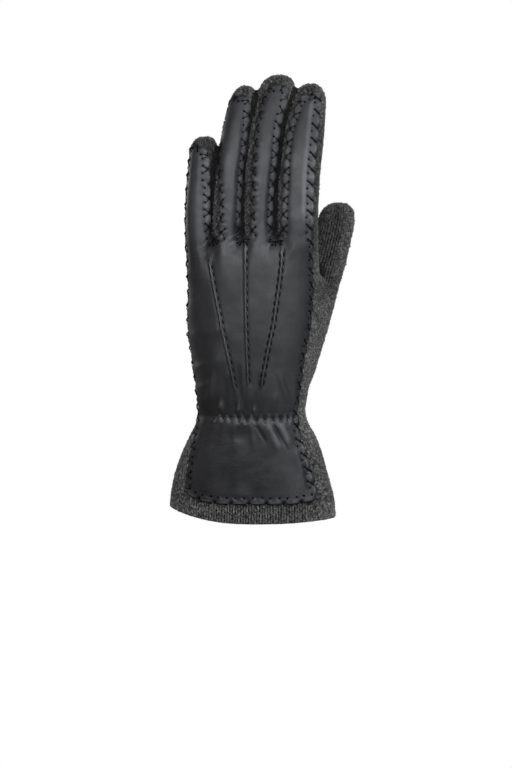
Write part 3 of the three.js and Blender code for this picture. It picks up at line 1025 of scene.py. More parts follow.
# Soft folds and creases: start, end, half width and height.
FOLDS = [
    ((-30.0, 23.0), (-16.0, 29.5), 2.8, 1.2),
    ((-31.0, 41.5), (-14.5, 46.5), 3.8, 0.9),
    ((-30.0, 12.0), (-21.0, 17.0), 1.8, 0.55),
    ((-22.5, 7.0), (-20.0, 22.0), 1.4, 0.9),
    ((-16.0, 1.6), (-16.2, 8.0), 1.2, 1.1),
    ((-6.4, 0.8), (-6.4, 6.8), 1.1, 1.15),
    ((-11.5, 6.0), (-13.0, 24.0), 1.4, 0.45),
    ((1.7, 0.8), (1.8, 6.8), 1.1, 1.1),
    ((3.4, 7.0), (3.8, 13.0), 1.0, 0.4),
    ((11.7, 1.5), (12.8, 10.0), 1.7, 0.9),
    ((15.3, 21.0), (19.4, 8.0), 1.7, 1.0),
    ((22.0, 20.0), (24.0, 5.0), 1.9, 0.7),
    ((11.5, -6.2), (18.3, -17.0), 0.7, -0.9),
    ((8.6, -6.5), (14.6, -18.2), 2.3, 0.85),
    ((15.4, -6.6), (20.6, -16.0), 2.6, 1.05),
    ((3.1, -7.1), (7.6, -14.5), 0.9, -0.4),
    ((4.9, -6.5), (9.6, -15.5), 1.5, 0.35),
    ((0.1, -6.0), (1.2, -18.0), 1.6, 0.4),
    ((-8.7, -6.0), (-9.4, -15.0), 1.6, 0.3),
    ((-19.0, -8.0), (-24.0, -22.0), 1.8, 0.4),
    ((24.0, -20.0), (29.0, -38.0), 2.6, 0.4),
    ((-8.0, -14.0), (-9.0, -36.0), 3.6, 0.3),
]

# Middles of the small puffs above the gathered line, which catch the light.
PUFFS = [(-15.8, 5.3), (-6.9, 3.5), (1.6, 2.9), (20.5, 14.0)]

# Painted highlights where the leather shines, and painted shadows where it lies in shade and is duller: ends,
# width and share.
PAINTED_HIGHLIGHTS = [
    ((8.8, -6.0), (15.0, -17.5), 1.6, 0.5),
    ((15.2, -5.5), (19.8, -15.5), 1.5, 0.6),
    ((-15.9, 3.6), (-15.7, 6.8), 1.2, 0.35),
    ((-6.9, 2.2), (-6.8, 4.8), 1.0, 0.55),
    ((1.6, 1.6), (1.7, 4.6), 1.0, 0.45),
]
SHADOWS = [
    ((-11.6, 22.0), (-11.2, 4.0), 2.8, 0.8),
    ((-6.0, 28.0), (-4.6, 6.0), 1.9, 0.85),
    ((5.0, 24.0), (4.8, 4.0), 2.4, 0.75),
    ((-0.5, 15.0), (-0.5, 8.0), 1.8, 0.6),
]

# The gathered line: the tops of its small pleats, left to right.
TEETH = [-16.9, -12.9, -8.8, -4.9, 0.1, 5.1, 9.4, 13.7, 18.1, 21.4, 24.6]
TEETH_TOPS = [-1.5, -1.9, -1.4, -1.7, -1.9, -2.3, -1.8, -2.1, -2.4, -2.2, -1.9]

# How far up from these heights the whole gathered line lies.
GATHER_RISE = 0.9
GATHER_LEFT = -18.5
GATHER_RIGHT = 26.5


def teeth(x, z):
    """How far up its pleat a place on the gathered line is: 0 in the groove, 1 on a crest."""
    total = np.zeros(len(x))
    for middle, top in zip(TEETH, TEETH_TOPS):
        depth = np.maximum(top - z, 0)
        half = 0.45 + 0.62 * depth
        share = np.clip(np.abs(x - middle) / half, 0, 1)
        start = smoothstep(-0.25, 0.45, top - z)
        total = np.maximum(total, start * np.sqrt(1 - share**2))
    return total


def between_teeth(x):
    """0 in line with a pleat's top and 1 between two pleats."""
    nearest = np.min(np.abs(x[:, None] - np.array(TEETH)[None]), axis=1)
    return smoothstep(0.2, 1.5, nearest)


def brow_line(x):
    """Height at which the leather above the pleats turns in: lower between two pleats."""
    return -0.1 - 1.5 * between_teeth(x) + 0.35 * np.sin(x * 0.71)


def gather_side(x):
    """1 where the leather is gathered, 0 beside it."""
    beyond_right = smoothstep(GATHER_RIGHT - 3, GATHER_RIGHT + 1, x)
    return smoothstep(GATHER_LEFT - 6, GATHER_LEFT + 4, x) * (1 - beyond_right)


def pleat_lips(x, z):
    """1 along the edges of the small pleats, which catch the light."""
    edge = bell(teeth(x, z) - 0.5, 0.3)
    return edge * smoothstep(-6.8, -5.0, z) * gather_side(x)


def knuckles(points):
    """The finger's crowns and the hollows between them, fading into the back of the hand."""
    x, z = points[:, 0], points[:, 2]
    total = np.zeros(len(points))
    upper = smoothstep(64, 90, z)
    for finger in FINGERS:
        middle = finger["table"].at(np.maximum(z, 84))[:, 0]
        total += 1.2 * bell(x - middle, 5.0) * upper * smoothstep(117, 90, z)
    for left, right in FORKS:
        middle = (left + right) / 2
        total -= 0.6 * bell(x - middle, 3.0) * smoothstep(70, 93, z) * smoothstep(99, 96, z)
    return total


def leather_height(points):
    """How far the leather stands above the knitting, before the work of the stitches."""
    x, z = image_place(points)
    height = np.full(len(points), LEATHER_TOP)
    height += 0.22 * wave_noise(points, 26, 3) * smoothstep(-50, -35, z)
    height += 0.10 * wave_noise(points, 11, 4)
    height += 0.02 * wave_noise(points, 4.2, 6)
    height += 1.1 * bell(z - 42, 19) - 0.5 * bell(z - 8, 8)
    for start, end, width, rise in FOLDS:
        fade = min(4.0, 0.4 * math.dist(start, end))
        height += rise * fold(points, start, end, width, fade)
    height += knuckles(points)
    side = gather_side(x)
    low = z - GATHER_RISE
    drop = 0.5 * smoothstep(2.4, -0.8, low - brow_line(x))
    drop += 1.3 * between_teeth(x) * smoothstep(-0.9, -3.0, low)
    height += 0.9 * side * smoothstep(-0.5, -3.5, low) * smoothstep(-15, -5, low)
    height -= side * (1 - teeth(x, low)) * drop * smoothstep(-7.5, -4.5, low)
    height -= 0.25 * (1 - side) * bell(z + 1.0, 1.8)
    return height


DASH_PITCH = 4.3

# Which sides of each tuck show its running stitches, and how far from its crest.
DASH_SIDES = [(1.0,), (1.0,), (1.15, -1.1)]


def tuck_height(points, tuck):
    total = np.zeros(len(points))
    z = points[:, 2]
    for k, (low, high) in enumerate(TUCK_ENDS):
        s = tuck[:, k]
        sewn = smoothstep(low - 1.5, low + 1.5, z) * (1 - smoothstep(high - 1.5, high + 1.5, z))
        ridge = 1.15 * bell(s - sway(z, low), 0.52) - 0.3 * bell(np.abs(s) - 1.1, 0.5)
        pull = 1 + 0.15 * np.cos(2 * np.pi * (z - low) / DASH_PITCH)
        total += sewn * ridge * pull
        above = smoothstep(high - 2, high + 2, z) * (1 - smoothstep(BACK_TOP - 1, BACK_TOP + 2, z))
        total += 0.55 * above * bell(s, 1.9)
        below = smoothstep(1, 5, z) * (1 - smoothstep(low - 2, low + 3, z))
        total += 0.45 * below * bell(s, 1.6)
    return total


def sewn_length(z, low, high):
    """1 along the sewn length of a tuck, fading at its ends."""
    return smoothstep(low - 1, low + 2, z) * (1 - smoothstep(high - 2, high + 1, z))


def sway(z, low):
    """How far a tuck's crest is pulled to the side by its running stitches."""
    return 0.13 * np.sin(2 * np.pi * (z - low) / DASH_PITCH)


def tuck_wear_and_highlight(points, tuck):
    """Where the tucks' crests are lighter: rubbed wear with a painted highlight."""
    wear_and_highlight = np.zeros(len(points))
    for k, (low, high) in enumerate(TUCK_ENDS):
        z = points[:, 2]
        sewn = sewn_length(z, low, high)
        rubbed_and_lit = 0.4 + 0.4 * smoothstep(15, 65, z)
        wear_and_highlight = np.maximum(wear_and_highlight, rubbed_and_lit * sewn * bell(tuck[:, k] - sway(z, low), 0.44))
    return wear_and_highlight


def stitch_place(place):
    """Along the edge: the share of a tab, the pitch, and millimetres from the nearest crossing and hole."""
    turn = edge_phase[place] % 1
    pitch = edge_pitch[place]
    nearest = np.minimum(turn, 1 - turn)
    return turn, pitch, nearest * pitch, np.abs(nearest - hole_turn[place]) * pitch


def painted_shade_at(points, tuck, distance, place):
    """Painted shade, which also dulls the leather: where it is pulled in beside the tucks, in the gathered
    line and at the stitches, and over the wrist, the hand and the fingertips.
    """
    x, z = image_place(points)
    dark = np.zeros(len(points))
    # Painted shade in the grooves beside each tuck.
    for k, (low, high) in enumerate(TUCK_ENDS):
        sewn = sewn_length(z, low, high)
        for side in (-1.1, 1.1):
            sewn_side = any(side * dash > 0 for dash in DASH_SIDES[k])
            share = 0.3 if sewn_side else 0.55
            dark = np.maximum(dark, share * sewn * bell(tuck[:, k] - side, 0.38))
    # Painted shade in the groove of the gathered line.
    low = z - GATHER_RISE
    band = 0.3 * smoothstep(2.0, -0.8, low) + 0.7 * between_teeth(x) * smoothstep(-0.5, -2.3, low)
    groove = (1 - teeth(x, low)) ** 1.3 * band * smoothstep(-6.5, -4.0, low)
    dark = np.maximum(dark, gather_side(x) * groove)
    _, _, cross, beside = stitch_place(place)
    away_from_hole = np.hypot(distance - edge_depth[place], beside)
    # Painted shade along the hand's thumb side.
    dark = np.maximum(dark, 0.55 * hand_thumb_side[place] * bell(distance, 13))
    # Painted shade above the wrist and in the listed shadow patches, kept off the puffs.
    puffs = sum(bell(x - px, 1.5) * bell(z - pz, 2.2) for px, pz in PUFFS)
    shade = (0.32 + 0.48 * smoothstep(16, 6, z)) * smoothstep(-5, -1.5, low) * smoothstep(54, 24, z)
    shade *= 1 - 0.35 * smoothstep(6, 12, x)
    for start, end, width, share in SHADOWS:
        shade = np.maximum(shade, share * fold(points, start, end, width, 3.0))
    dark = np.maximum(dark, shade * (1 - 0.9 * puffs))
    dark *= 1 - 0.7 * pleat_lips(x, low)
    # Painted shade in the wrist's left corner, towards the fingertips and over the middle of the hand.
    dark = np.maximum(dark, 0.75 * smoothstep(-25, -29, x) * smoothstep(-12, -7, z) * smoothstep(5, 0, z))
    dark = np.maximum(dark, 0.34 * smoothstep(132, 160, z))
    dark = np.maximum(dark, 0.22 * smoothstep(20, 34, z) * smoothstep(88, 70, z))
    # Painted shade at the holes and where the threads cross the edge.
    dark = np.maximum(dark, 0.6 * bell(away_from_hole, 0.8))
    dark = np.maximum(dark, 0.6 * bell(np.hypot(cross, distance), 1.0))
    return dark


# Heights between which the edge passes to the fingers, and to the cuff's hem.
FINGER_ZONE = (97, 106)
HEM_ZONE = (-40, -44)
FINGER_FLARE = 0.95


def lit_tabs(place):
    """Where the tabs stand up most and their highlight is painted: the index finger's thumb side, the cuff's
    right edge and its hem.
    """
    x = edge_x[place]
    z = edge_height[place]
    on_index = smoothstep(92, 106, z) * smoothstep(22, 27, x)
    on_cuff = smoothstep(-8, -18, z) * smoothstep(-26, -12, x) * (1 - 0.7 * smoothstep(*HEM_ZONE, z))
    return np.maximum(on_index, on_cuff)


def flare(place):
    """How far the leather's edge stands off the knitting between its stitches."""
    z = edge_height[place]
    right = running_down[place]
    left = running_up[place] * smoothstep(14, 18, edge_x[place])
    on_fingers = smoothstep(*FINGER_ZONE, z) * (right + 0.8 * left)
    on_cuff = right * smoothstep(-10, -16, z) * smoothstep(-46, -40, z)
    return FINGER_FLARE * on_fingers + 0.5 * on_cuff


def stitch_work(distance, place):
    """What the stitches round the edge do to the leather: its rise and its outward move."""
    turn, pitch, cross, beside = stitch_place(place)
    deep = edge_depth[place]
    pinch = bell(cross, 1.0)
    swell = np.sin(np.pi * turn) ** 0.7
    outward = (-0.7 * pinch + 0.3 * swell) * bell(distance, 1.8)
    rise = -0.75 * pinch * bell(distance, 1.5)
    rise += -0.25 * bell(distance, 0.45)
    rise += (0.14 + 0.22 * lit_tabs(place)) * swell * bell(distance - 1.3, 1.0)
    rise += flare(place) * (0.45 + 0.55 * swell) * smoothstep(deep + 0.6, 0, distance)
    strand = np.abs(cross - distance * 0.25 * pitch / deep)
    rise += -0.1 * bell(strand, 0.45) * (distance < deep)
    away_from_hole = np.hypot(distance - deep, beside)
    rise += -0.16 * bell(away_from_hole, 1.0)
    rise += -0.06 * bell(distance - deep, 0.8)
    rise += 0.06 * bell(distance - deep - 2.1, 1.4)
    return rise, outward


# The leather runs smoothly over the step where the fingers leave the hand.
STEP_ROUNDS = 180
blocks = [hand_index] + finger_index
upward_edges = np.concatenate([np.stack([block[:-1].ravel(), block[1:].ravel()], 1) for block in blocks])
smooth = relax(leather_base, upward_edges, STEP_ROUNDS, held=loop)
span = ((smooth - leather_base) * leather_normals).sum(1)
base_z = leather_base[:, 2]
span = np.clip(span, -0.9, 3) * smoothstep(66, 78, base_z) * smoothstep(116, 102, base_z)
span = relax(span[:, None], leather_edges, 8)[:, 0]
rise, outward = stitch_work(edge_distance, edge_place)
tab_zone = smoothstep(4.4, 2.2, edge_distance)
rise += 0.15 * tab_zone * wave_noise(leather_base, 2.8, 8, 20)
height = leather_height(leather_base) + tuck_height(leather_base, leather_tuck) + rise + span
height = np.maximum(height, LEATHER_LEAST)
leather_points = leather_base + leather_normals * height[:, None] + edge_out[edge_place] * outward[:, None]


def leather_wear_and_highlight():
    """Where the leather is painted lighter: painted highlights on the pleats, crowns, tabs and the folds that
    shine, and rubbed wear with a painted highlight on the tucks.
    """
    image_x, image_z = image_place(leather_base)
    near_height = edge_height[edge_place]
    tab_middle = np.sin(np.pi * (edge_phase[edge_place] % 1)) ** 2
    finger_tabs = np.minimum(flare(edge_place), FINGER_FLARE) * smoothstep(*FINGER_ZONE, near_height)
    beside_holes = thumb_side[edge_place] * smoothstep(100, 112, near_height)
    speckle = smoothstep(0.3, 1.3, wave_noise(leather_base, 2.2, 9, 20))
    # Painted highlights: the tucks' crests (with rubbed wear), the pleats' lips, the finger crowns, the lit
    # tabs, the hem tabs' lower edges, the fingers' tabs, beside the index finger's holes, specks on the tabs,
    # and the shining folds.
    wear_and_highlight = [
        tuck_wear_and_highlight(leather_base, leather_tuck),
        pleat_lips(image_x, image_z - GATHER_RISE),
        0.15 * (smoothstep(88, 118, base_z) * smoothstep(1.5, 5.0, edge_distance)),
        0.85 * (lit_tabs(edge_place) * tab_middle * bell(edge_distance - 0.9, 0.9)),
        0.6 * (smoothstep(*HEM_ZONE, near_height) * tab_middle * bell(edge_distance - 0.4, 0.5)),
        0.4 * (finger_tabs * smoothstep(0.6, -0.6, edge_distance - edge_depth[edge_place])),
        0.8 * (beside_holes * bell(edge_distance - 4.9, 1.3)),
        0.3 * tab_zone * speckle,
    ]
    wear_and_highlight += [share * fold(leather_base, start, end, width, 2.0) for start, end, width, share in PAINTED_HIGHLIGHTS]
    return np.maximum.reduce(wear_and_highlight)


def make_cover():
    """The leather with its rim: the cut edge turns down to the knitting and in under it."""
    out = edge_out[edge_place[loop]]
    normal = leather_normals[loop]
    edge = leather_points[loop]
    above = height[loop][:, None]
    rims = [
        edge + out * 0.12 - normal * 0.25,
        edge + out * 0.10 - normal * (above - 0.25) * 0.7,
        edge - out * 0.1 - normal * (above - 0.1),
        edge - out * 1.6 - normal * (above - 0.15),
    ]
    numbers = len(leather_points) + np.arange(len(rims) * len(loop)).reshape(len(rims), len(loop))
    faces = np.concatenate([leather_quads, between_rings([loop, *numbers])])
    made = add_mesh("leather_cover", np.concatenate([leather_points] + rims), faces, leather, "leather")
    painted_shade = painted_shade_at(leather_base, leather_tuck, edge_distance, edge_place)
    # Painted highlight on the top of the cut edge, and painted shade deepening down the rim.
    rim_painted_shade = painted_shade[loop]
    rim_highlight = [np.full(len(loop), share) for share in (0.3, 0.2, 0, 0)]
    rim_painted_shades = [0.4 * rim_painted_shade, 0.5 * rim_painted_shade + 0.15, rim_painted_shade + 0.4, rim_painted_shade + 0.5]
    add_attribute(made, "wear_and_highlight", np.concatenate([leather_wear_and_highlight()] + rim_highlight))
    add_attribute(made, "painted_shade", np.concatenate([painted_shade] + rim_painted_shades))
    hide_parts("leather_back")


make_cover()

# Knitting: every stitch is a V of two yarn legs, laid in columns over the glove's outer face.

# The leather hides the knitting this far inside its edge, and this near to a point of its grid.
HIDDEN_INSIDE = 1.4
HIDDEN_NEAR = 0.75
cover_tree = search_tree(leather_base[edge_distance > HIDDEN_INSIDE])


def uncovered(points):
    return np.array([cover_tree.find(point)[2] > HIDDEN_NEAR for point in points.tolist()], bool)


def leg_template():
    """One V stitch in units of its width, depth and height: vertices and quads."""
    steps = np.array([0.0, 0.34, 0.68, 1.0])
    lift = np.array([0.5, 1.0, 0.9, 0.2])
    vertices = []
    faces = []
    for side in (-1, 1):
        x = 0.07 + 0.22 * steps**0.8
        y = -0.5 + 1.38 * steps
        slope_x = np.gradient(x)
        slope_y = np.gradient(y)
        size = np.hypot(slope_x, slope_y)
        normal_x = slope_y / size
        normal_y = -slope_x / size
        half = np.array([0.12, 0.17, 0.17, 0.11])
        start = len(vertices)
        for k in range(len(steps)):
            for offset, rise_share in ((-1, -0.2), (0, lift[k]), (1, -0.8)):
                px = x[k] + offset * half[k] * normal_x[k]
                py = y[k] + offset * half[k] * normal_y[k]
                vertices.append((side * px, rise_share, py))
        for k in range(len(steps) - 1):
            for j in range(2):
                a = start + 3 * k + j
                quad = [a, a + 1, a + 4, a + 3]
                faces.append(quad if side > 0 else quad[::-1])
    return np.array(vertices), np.array(faces)


stitch_vertices, stitch_faces = leg_template()


def lay_stitches(centres, sides, normals, ups, widths, heights, depth, turned=0.11):
    """Vertices and quads of many stitches, each with a small seeded change of place, turn and size."""
    count = len(centres)
    turn = random.normal(0, turned, count)
    side = sides * np.cos(turn)[:, None] + ups * np.sin(turn)[:, None]
    up = ups * np.cos(turn)[:, None] - sides * np.sin(turn)[:, None]
    wide = widths * random.normal(1, 0.05, count)
    tall = heights * random.normal(1, 0.04, count)
    thick = depth * random.normal(1, 0.2, count)
    centre = centres - normals * 0.3 + random.normal(0, 0.05, (count, 3))
    points = (
        centre[:, None]
        + side[:, None] * (stitch_vertices[None, :, :1] * wide[:, None, None])
        + normals[:, None] * (stitch_vertices[None, :, 1:2] * thick[:, None, None])
        + up[:, None] * (stitch_vertices[None, :, 2:] * tall[:, None, None])
    )
    faces = stitch_faces[None] + (np.arange(count) * len(stitch_vertices))[:, None, None]
    return points.reshape(-1, 3), faces.reshape(-1, 4)


def add_tone(made, tones):
    """Gives each stitch its own tone of wool, which knit_piece lowers where it paints shade."""
    add_attribute(made, "tone", np.repeat(tones, len(stitch_vertices)))


def knit_field(places):
    """Place, normal, side, up, width and distance of each stitch, from rows upwards and columns round."""
    found, normals, far = project(places)
    up = np.gradient(found, axis=0)
    across = np.roll(found, -1, axis=1) - np.roll(found, 1, axis=1)
    width = np.linalg.norm(across, axis=2) / 2
    up = unit(up - normals * (up * normals).sum(2, keepdims=True))
    side = unit(np.cross(up, normals))
    return found, normals, side, up, width, far


# Columns of stitches round the hand, thumb and ribbed zone, and the height of a course on each part.
HAND_WALES = 148
THUMB_WALES = 52
RIB_WALES = 38
HAND_COURSE = 1.22
THUMB_COURSE = 1.2
RIB_COURSE = 1.4
FINGER_COURSE = 1.25

# Up to the first height the hand's outline is full, and the second is above every fingertip.
FULL_OUTLINE = 88.0
ABOVE_ALL = 200


def hand_knit():
    """Rows of guess points round the hand, evenly spaced on its outline, above the curved hem."""
    low = np.arange(HEM_LEVEL + 0.5 * HAND_COURSE, 0, HAND_COURSE)
    high = np.arange(low[-1] + HAND_COURSE, 96.4, HAND_COURSE)
    fractions = (np.arange(HAND_WALES) + 0.5) / HAND_WALES
    fine = np.linspace(0, 2 * np.pi, 721)
    rows = []
    for level in np.concatenate([low, high]):
        arc = arc_along(hand_point(np.full(len(fine), min(level, FULL_OUTLINE)), fine))
        angles = np.interp(fractions * arc[-1], arc, fine)
        rows.append(hand_point(np.full(HAND_WALES, level), angles))
    places = np.array(rows)
    return level_with_hem(places.reshape(-1, 3)).reshape(places.shape)


def digit_knit(digit, low, high, wales, course):
    """Rows of guess points on a finger or thumb, evenly spaced along it, also round its tip."""
    fine = np.concatenate(
        [
            np.arange(low, digit["tip"] - digit["dome"], 0.25),
            digit["tip"] - digit["dome"] + digit["dome"] * np.sin(np.linspace(0, np.pi / 2, 80)) * 0.9995,
        ]
    )
    radius = digit["table"].at(fine)[:, 2] * dome_scale(fine, digit["tip"], digit["dome"], 0)
    arc = np.concatenate([[0], np.cumsum(np.hypot(np.diff(fine), np.diff(radius)))])
    rows = np.interp(np.arange(0, arc[-1] - 0.4, course), arc, fine)
    rows = rows[rows < high]
    angles = (np.arange(wales) + 0.5) / wales * 2 * np.pi
    return digit_point(digit, rows[:, None], angles[None, :])


def thinned(keep, width):
    """Leaves out columns of stitches where a ring is narrow, and widens those that stay."""
    for r in range(len(keep)):
        ring_width = np.median(width[r])
        step = 1 if ring_width > 0.78 else 2 if ring_width > 0.39 else 4
        keep[r] &= np.arange(keep.shape[1]) % step == 0
        width[r] *= step
    return keep.ravel(), width.ravel()


def knit_piece(name, fields, shaded_side=0.0, lighter=0.0, spread=None):
    """One piece of knitting. A field is guess points, course, depth, fill and turn of the stitches.

    The side that faces right gets painted shade, darker by shaded_side, and lighter lifts the tone up to the
    thumb's seam.
    """
    parts = []
    centres = []
    for places, course, depth, fill, turned in fields:
        found, normals, side, up, width, far = knit_field(places)
        beside_thumb = smoothstep(26, 31, places[:, :, 0]) * smoothstep(12, 7, places[:, :, 1])
        spanned = smoothstep(14, 48, places[:, :, 2]) * smoothstep(88, 80, places[:, :, 2])
        keep, width = thinned(far < 0.8 + 3.6 * beside_thumb * spanned, width)
        found, normals, side, up = (values.reshape(-1, 3) for values in (found, normals, side, up))
        keep[keep] &= uncovered(found[keep])
        wide = np.clip(width[keep], 0.7, 2.6) * fill
        tall = np.full(len(wide), course)
        stitches = (found[keep], side[keep], normals[keep], up[keep], wide, tall)
        parts.append(lay_stitches(*stitches, depth, turned))
        centres.append(np.concatenate([found[keep], normals[keep]], 1))
    made = add_mesh(name, *joined(parts), wool, "knit")
    centres = np.concatenate(centres)
    x, _, z, facing_right, _, _ = centres.T
    level = 0.72 - 0.42 * smoothstep(-30, 90, z) + 0.32 * smoothstep(-46, -54, z)
    # Painted shade on the right-facing sides, between the fingers.
    level -= shaded_side * smoothstep(0.3, 0.7, facing_right) * smoothstep(165, 150, z)
    # Painted shade on the cuff's right, below the thumb.
    level -= 0.3 * smoothstep(28, 38, x) * smoothstep(-8, -22, z)
    # Painted shade where the thumb meets the hand.
    level -= 0.3 * bell(x - 40, 6) * bell(z - 67, 6)
    level += lighter * (1 - smoothstep(THUMB_SEAM - 16, THUMB_SEAM - 2, z))
    if spread is None:
        spread = 0.23 + 0.08 * smoothstep(-20, -45, z)
    add_tone(made, random.normal(level, spread))
    return centres


hand_places = hand_knit()
wrist_row = int(np.searchsorted(hand_places[:, 0, 2], 10))
RIB_START = THUMB_SEAM - 9
thumb_fields = [
    (digit_knit(THUMB, 12, RIB_START, THUMB_WALES, THUMB_COURSE), THUMB_COURSE, 0.6, 0.95, 0.14),
    (digit_knit(THUMB, RIB_START, THUMB_SEAM, RIB_WALES, RIB_COURSE), RIB_COURSE, 0.75, 0.9, 0.14),
    (digit_knit(THUMB, THUMB_SEAM, ABOVE_ALL, RIB_WALES, RIB_COURSE), RIB_COURSE, 1.0, 0.84, 0.12),
]
knit_places = [
    knit_piece("knit_cuff", [(hand_places[: wrist_row + 1], HAND_COURSE, 0.62, 0.97, 0.2)]),
    knit_piece("knit_palm", [(hand_places[wrist_row + 1 :], HAND_COURSE, 0.6, 0.95, 0.14)]),
    knit_piece("knit_thumb_stitches", thumb_fields, lighter=0.1, spread=0.12),
]

# The fingers: the piece, the columns of stitches round it, and how much painted shade darkens its right side.
for name, finger, wales, shaded_side in (
    ("knit_little_stitches", LITTLE, 30, 0.5),
    ("knit_ring_stitches", RING, 32, 0.5),
    ("knit_middle_stitches", MIDDLE, 36, 0.5),
    ("knit_index_stitches", INDEX, 44, 0.3),
):
    places = digit_knit(finger, 84, ABOVE_ALL, wales, FINGER_COURSE)
    field = (places, FINGER_COURSE, 0.6, 0.93, 0.16)
    knit_places.append(knit_piece(name, [field], shaded_side))

HEM_ROLL = 0.7
HEM_COURSES = 4


def knit_hem():
    """The rolled lower edge: the last courses turn in under the hem."""
    found, normals, _, _, width, _ = (values[0] for values in knit_field(hand_places[:3]))
    up = unit(np.array([[0.0, 0.0, 1.0]]) - normals * normals[:, 2:])
    side = unit(np.cross(up, normals))
    parts = []
    for k in range(1, HEM_COURSES + 1):
        turn = k * 1.05 / HEM_ROLL * 0.62
        place = found - normals * HEM_ROLL * (1 - math.cos(turn)) - up * (HEM_ROLL * math.sin(turn) + 0.1)
        facing = normals * math.cos(turn) - up * math.sin(turn)
        upward = up * math.cos(turn) + normals * math.sin(turn)
        parts.append(lay_stitches(place, side, facing, upward, width, np.full(len(place), 1.0), 0.4))
    made = add_mesh("knit_hem", *joined(parts), wool, "knit")
    add_tone(made, random.normal(0.9, 0.2, HEM_COURSES * len(found)))


knit_hem()

# Sewing thread: its radius in each piece of stitching.
THREAD_RADIUS = {
    "edge_stitches_bold": 0.48,
    "edge_stitches": 0.36,
    "edge_stitches_fine": 0.23,
    "hem_thread": 0.38,
    "fork_stitches": 0.3,
    "tuck_stitches": 0.4,
}


def tube(path, radius, sides=5):
    """Vertices and quads of a closed thin tube along a path, tapered at both ends."""
    along = unit(np.gradient(path, axis=0))
    reference = np.array([0.3, 0.2, 0.93])
    first = unit(np.cross(along, reference))
    second = np.cross(along, first)
    thickness = np.full(len(path), float(radius))
    thickness[[0, -1]] *= 0.35
    angles = (np.arange(sides) / sides * 2 * np.pi)[None, :, None]
    ring = (np.cos(angles) * first[:, None] + np.sin(angles) * second[:, None]) * thickness[:, None, None]
    points = (path[:, None] + ring).reshape(-1, 3)
    return points, between_rings(np.arange(len(points)).reshape(-1, sides))


def add_tubes(name, paths):
    add_mesh(name, *joined([tube(path, THREAD_RADIUS[name]) for path in paths]), thread, "leather")


def edge_at(turns):
    """Place number on the fine edge for a phase."""
    return int(np.searchsorted(edge_phase, turns % tab_count)) % len(edge_phase)


leather_face = BVHTree.FromPolygons(leather_points.tolist(), leather_quads.tolist())


def over_leather(guess, outside_height):
    """Lifts guess points to the leather's outer face, or above the knitting where there is no leather."""
    found, normals, _ = project(guess)
    lifted = found + normals * outside_height
    facing = normals.copy()
    for k in range(len(found)):
        above = found[k] + normals[k] * 5
        place, normal, _, _ = leather_face.ray_cast(above.tolist(), (-normals[k]).tolist(), 6)
        if place is not None:
            lifted[k] = place
            facing[k] = normal
    return lifted, facing


def strand(start, finish, deep, past, lift):
    """One thread from a hole in the leather, at a phase of the edge, over the edge and down beside it."""
    shares = np.linspace(0, 1, 8)
    numbers = [edge_at(turn) for turn in start + (finish - start) * shares]
    depths = deep + (-past - deep) * shares
    guess = edge_points[numbers] - edge_out[numbers] * depths[:, None]
    path, normals = over_leather(guess, 0.3)
    heights = np.array([-0.1, 0.16, 0.2, 0.22, 0.24, 0.24, 0.1, -0.35]) + lift
    return path + normals * heights[:, None], normals


def on_hem(z, steep):
    return z < -38 and steep < 0.6


def on_outer_left(x, climb):
    return climb > 1.5 and x < -24


def strand_rule(x, z, climb, steep, right, over):
    """How one thread runs: how far past the crossing, how far past the edge, and in which piece."""
    outer_left = on_outer_left(x, climb) and z > -4
    if on_hem(z, steep):
        return 0.05, 0.5, "edge_stitches"
    if z > 104 and not right and not outer_left:
        return 0.04, 0.1, "edge_stitches_fine"
    if over:
        reach = 0.07 + 0.19 * steep
        if (right or outer_left) and z > -3:
            return reach, 0.9, "edge_stitches_bold"
        return reach, 0.9, "edge_stitches" if right or z > 80 else "edge_stitches_fine"
    return 0.06 - 0.04 * steep, 0.9 - 1.4 * steep - 2.8 * right, "edge_stitches_fine"


def edge_stitches():
    """The threads of the stitches round the leather, by piece, and the stitches' holes."""
    strands = {"edge_stitches_bold": [], "edge_stitches": [], "edge_stitches_fine": []}
    holes = []
    for k in range(tab_count):
        here = edge_at(k)
        x, _, z = edge_points[here]
        climb = edge_points[edge_at(k + 0.25)][2] - edge_points[edge_at(k - 0.25)][2]
        upper = 1 if climb > 0 else -1
        steep = float(smoothstep(1.0, 3.0, abs(climb)))
        for side in (upper, -upper):
            reach, past, piece = strand_rule(x, z, climb, steep, thumb_side[here] > 0.5, side == upper)
            start = k + hole_turn[here] * side + random.normal(0, 0.018)
            finish = k - reach * side + random.normal(0, 0.03)
            deep = edge_depth[edge_at(start)] + random.normal(0, 0.2)
            past += random.normal(0, 0.2)
            lift = 0.14 * (side == upper) + (0.26 if z < 92 else 0.1) * on_outer_left(x, climb)
            path, normals = strand(start, finish, deep, past, lift)
            holes.append((path[0] + normals[0] * 0.1, normals[0]))
            if on_hem(z, steep):
                path, normals = strand(start * 0.45 + finish * 0.55, finish, 1.0, past, lift)
            length = np.linalg.norm(np.diff(path, axis=0), axis=1).sum()
            straight = length < 1.35 * math.dist(path[0], path[-1])
            fork = 85 < z < 104 and steep < 0.5
            if deep + past > 0.9 and straight and not fork:
                strands[piece].append(path)
    return strands, holes


def hem_thread():
    """The thread that runs along under most of the tabs on the cuff's lower edge."""
    paths = []
    for k in range(round(phase[corners[-2]]), tab_count):
        first, last = sorted(random.uniform(0, 1, 2))
        numbers = [edge_at(k + turn) for turn in np.linspace(0.08 + 0.15 * first, 0.72 + 0.22 * last, 12)]
        guess = edge_points[numbers] + edge_out[numbers] * 0.6
        found, normals, _ = project(guess)
        paths.append(found + normals * 0.5)
    return paths


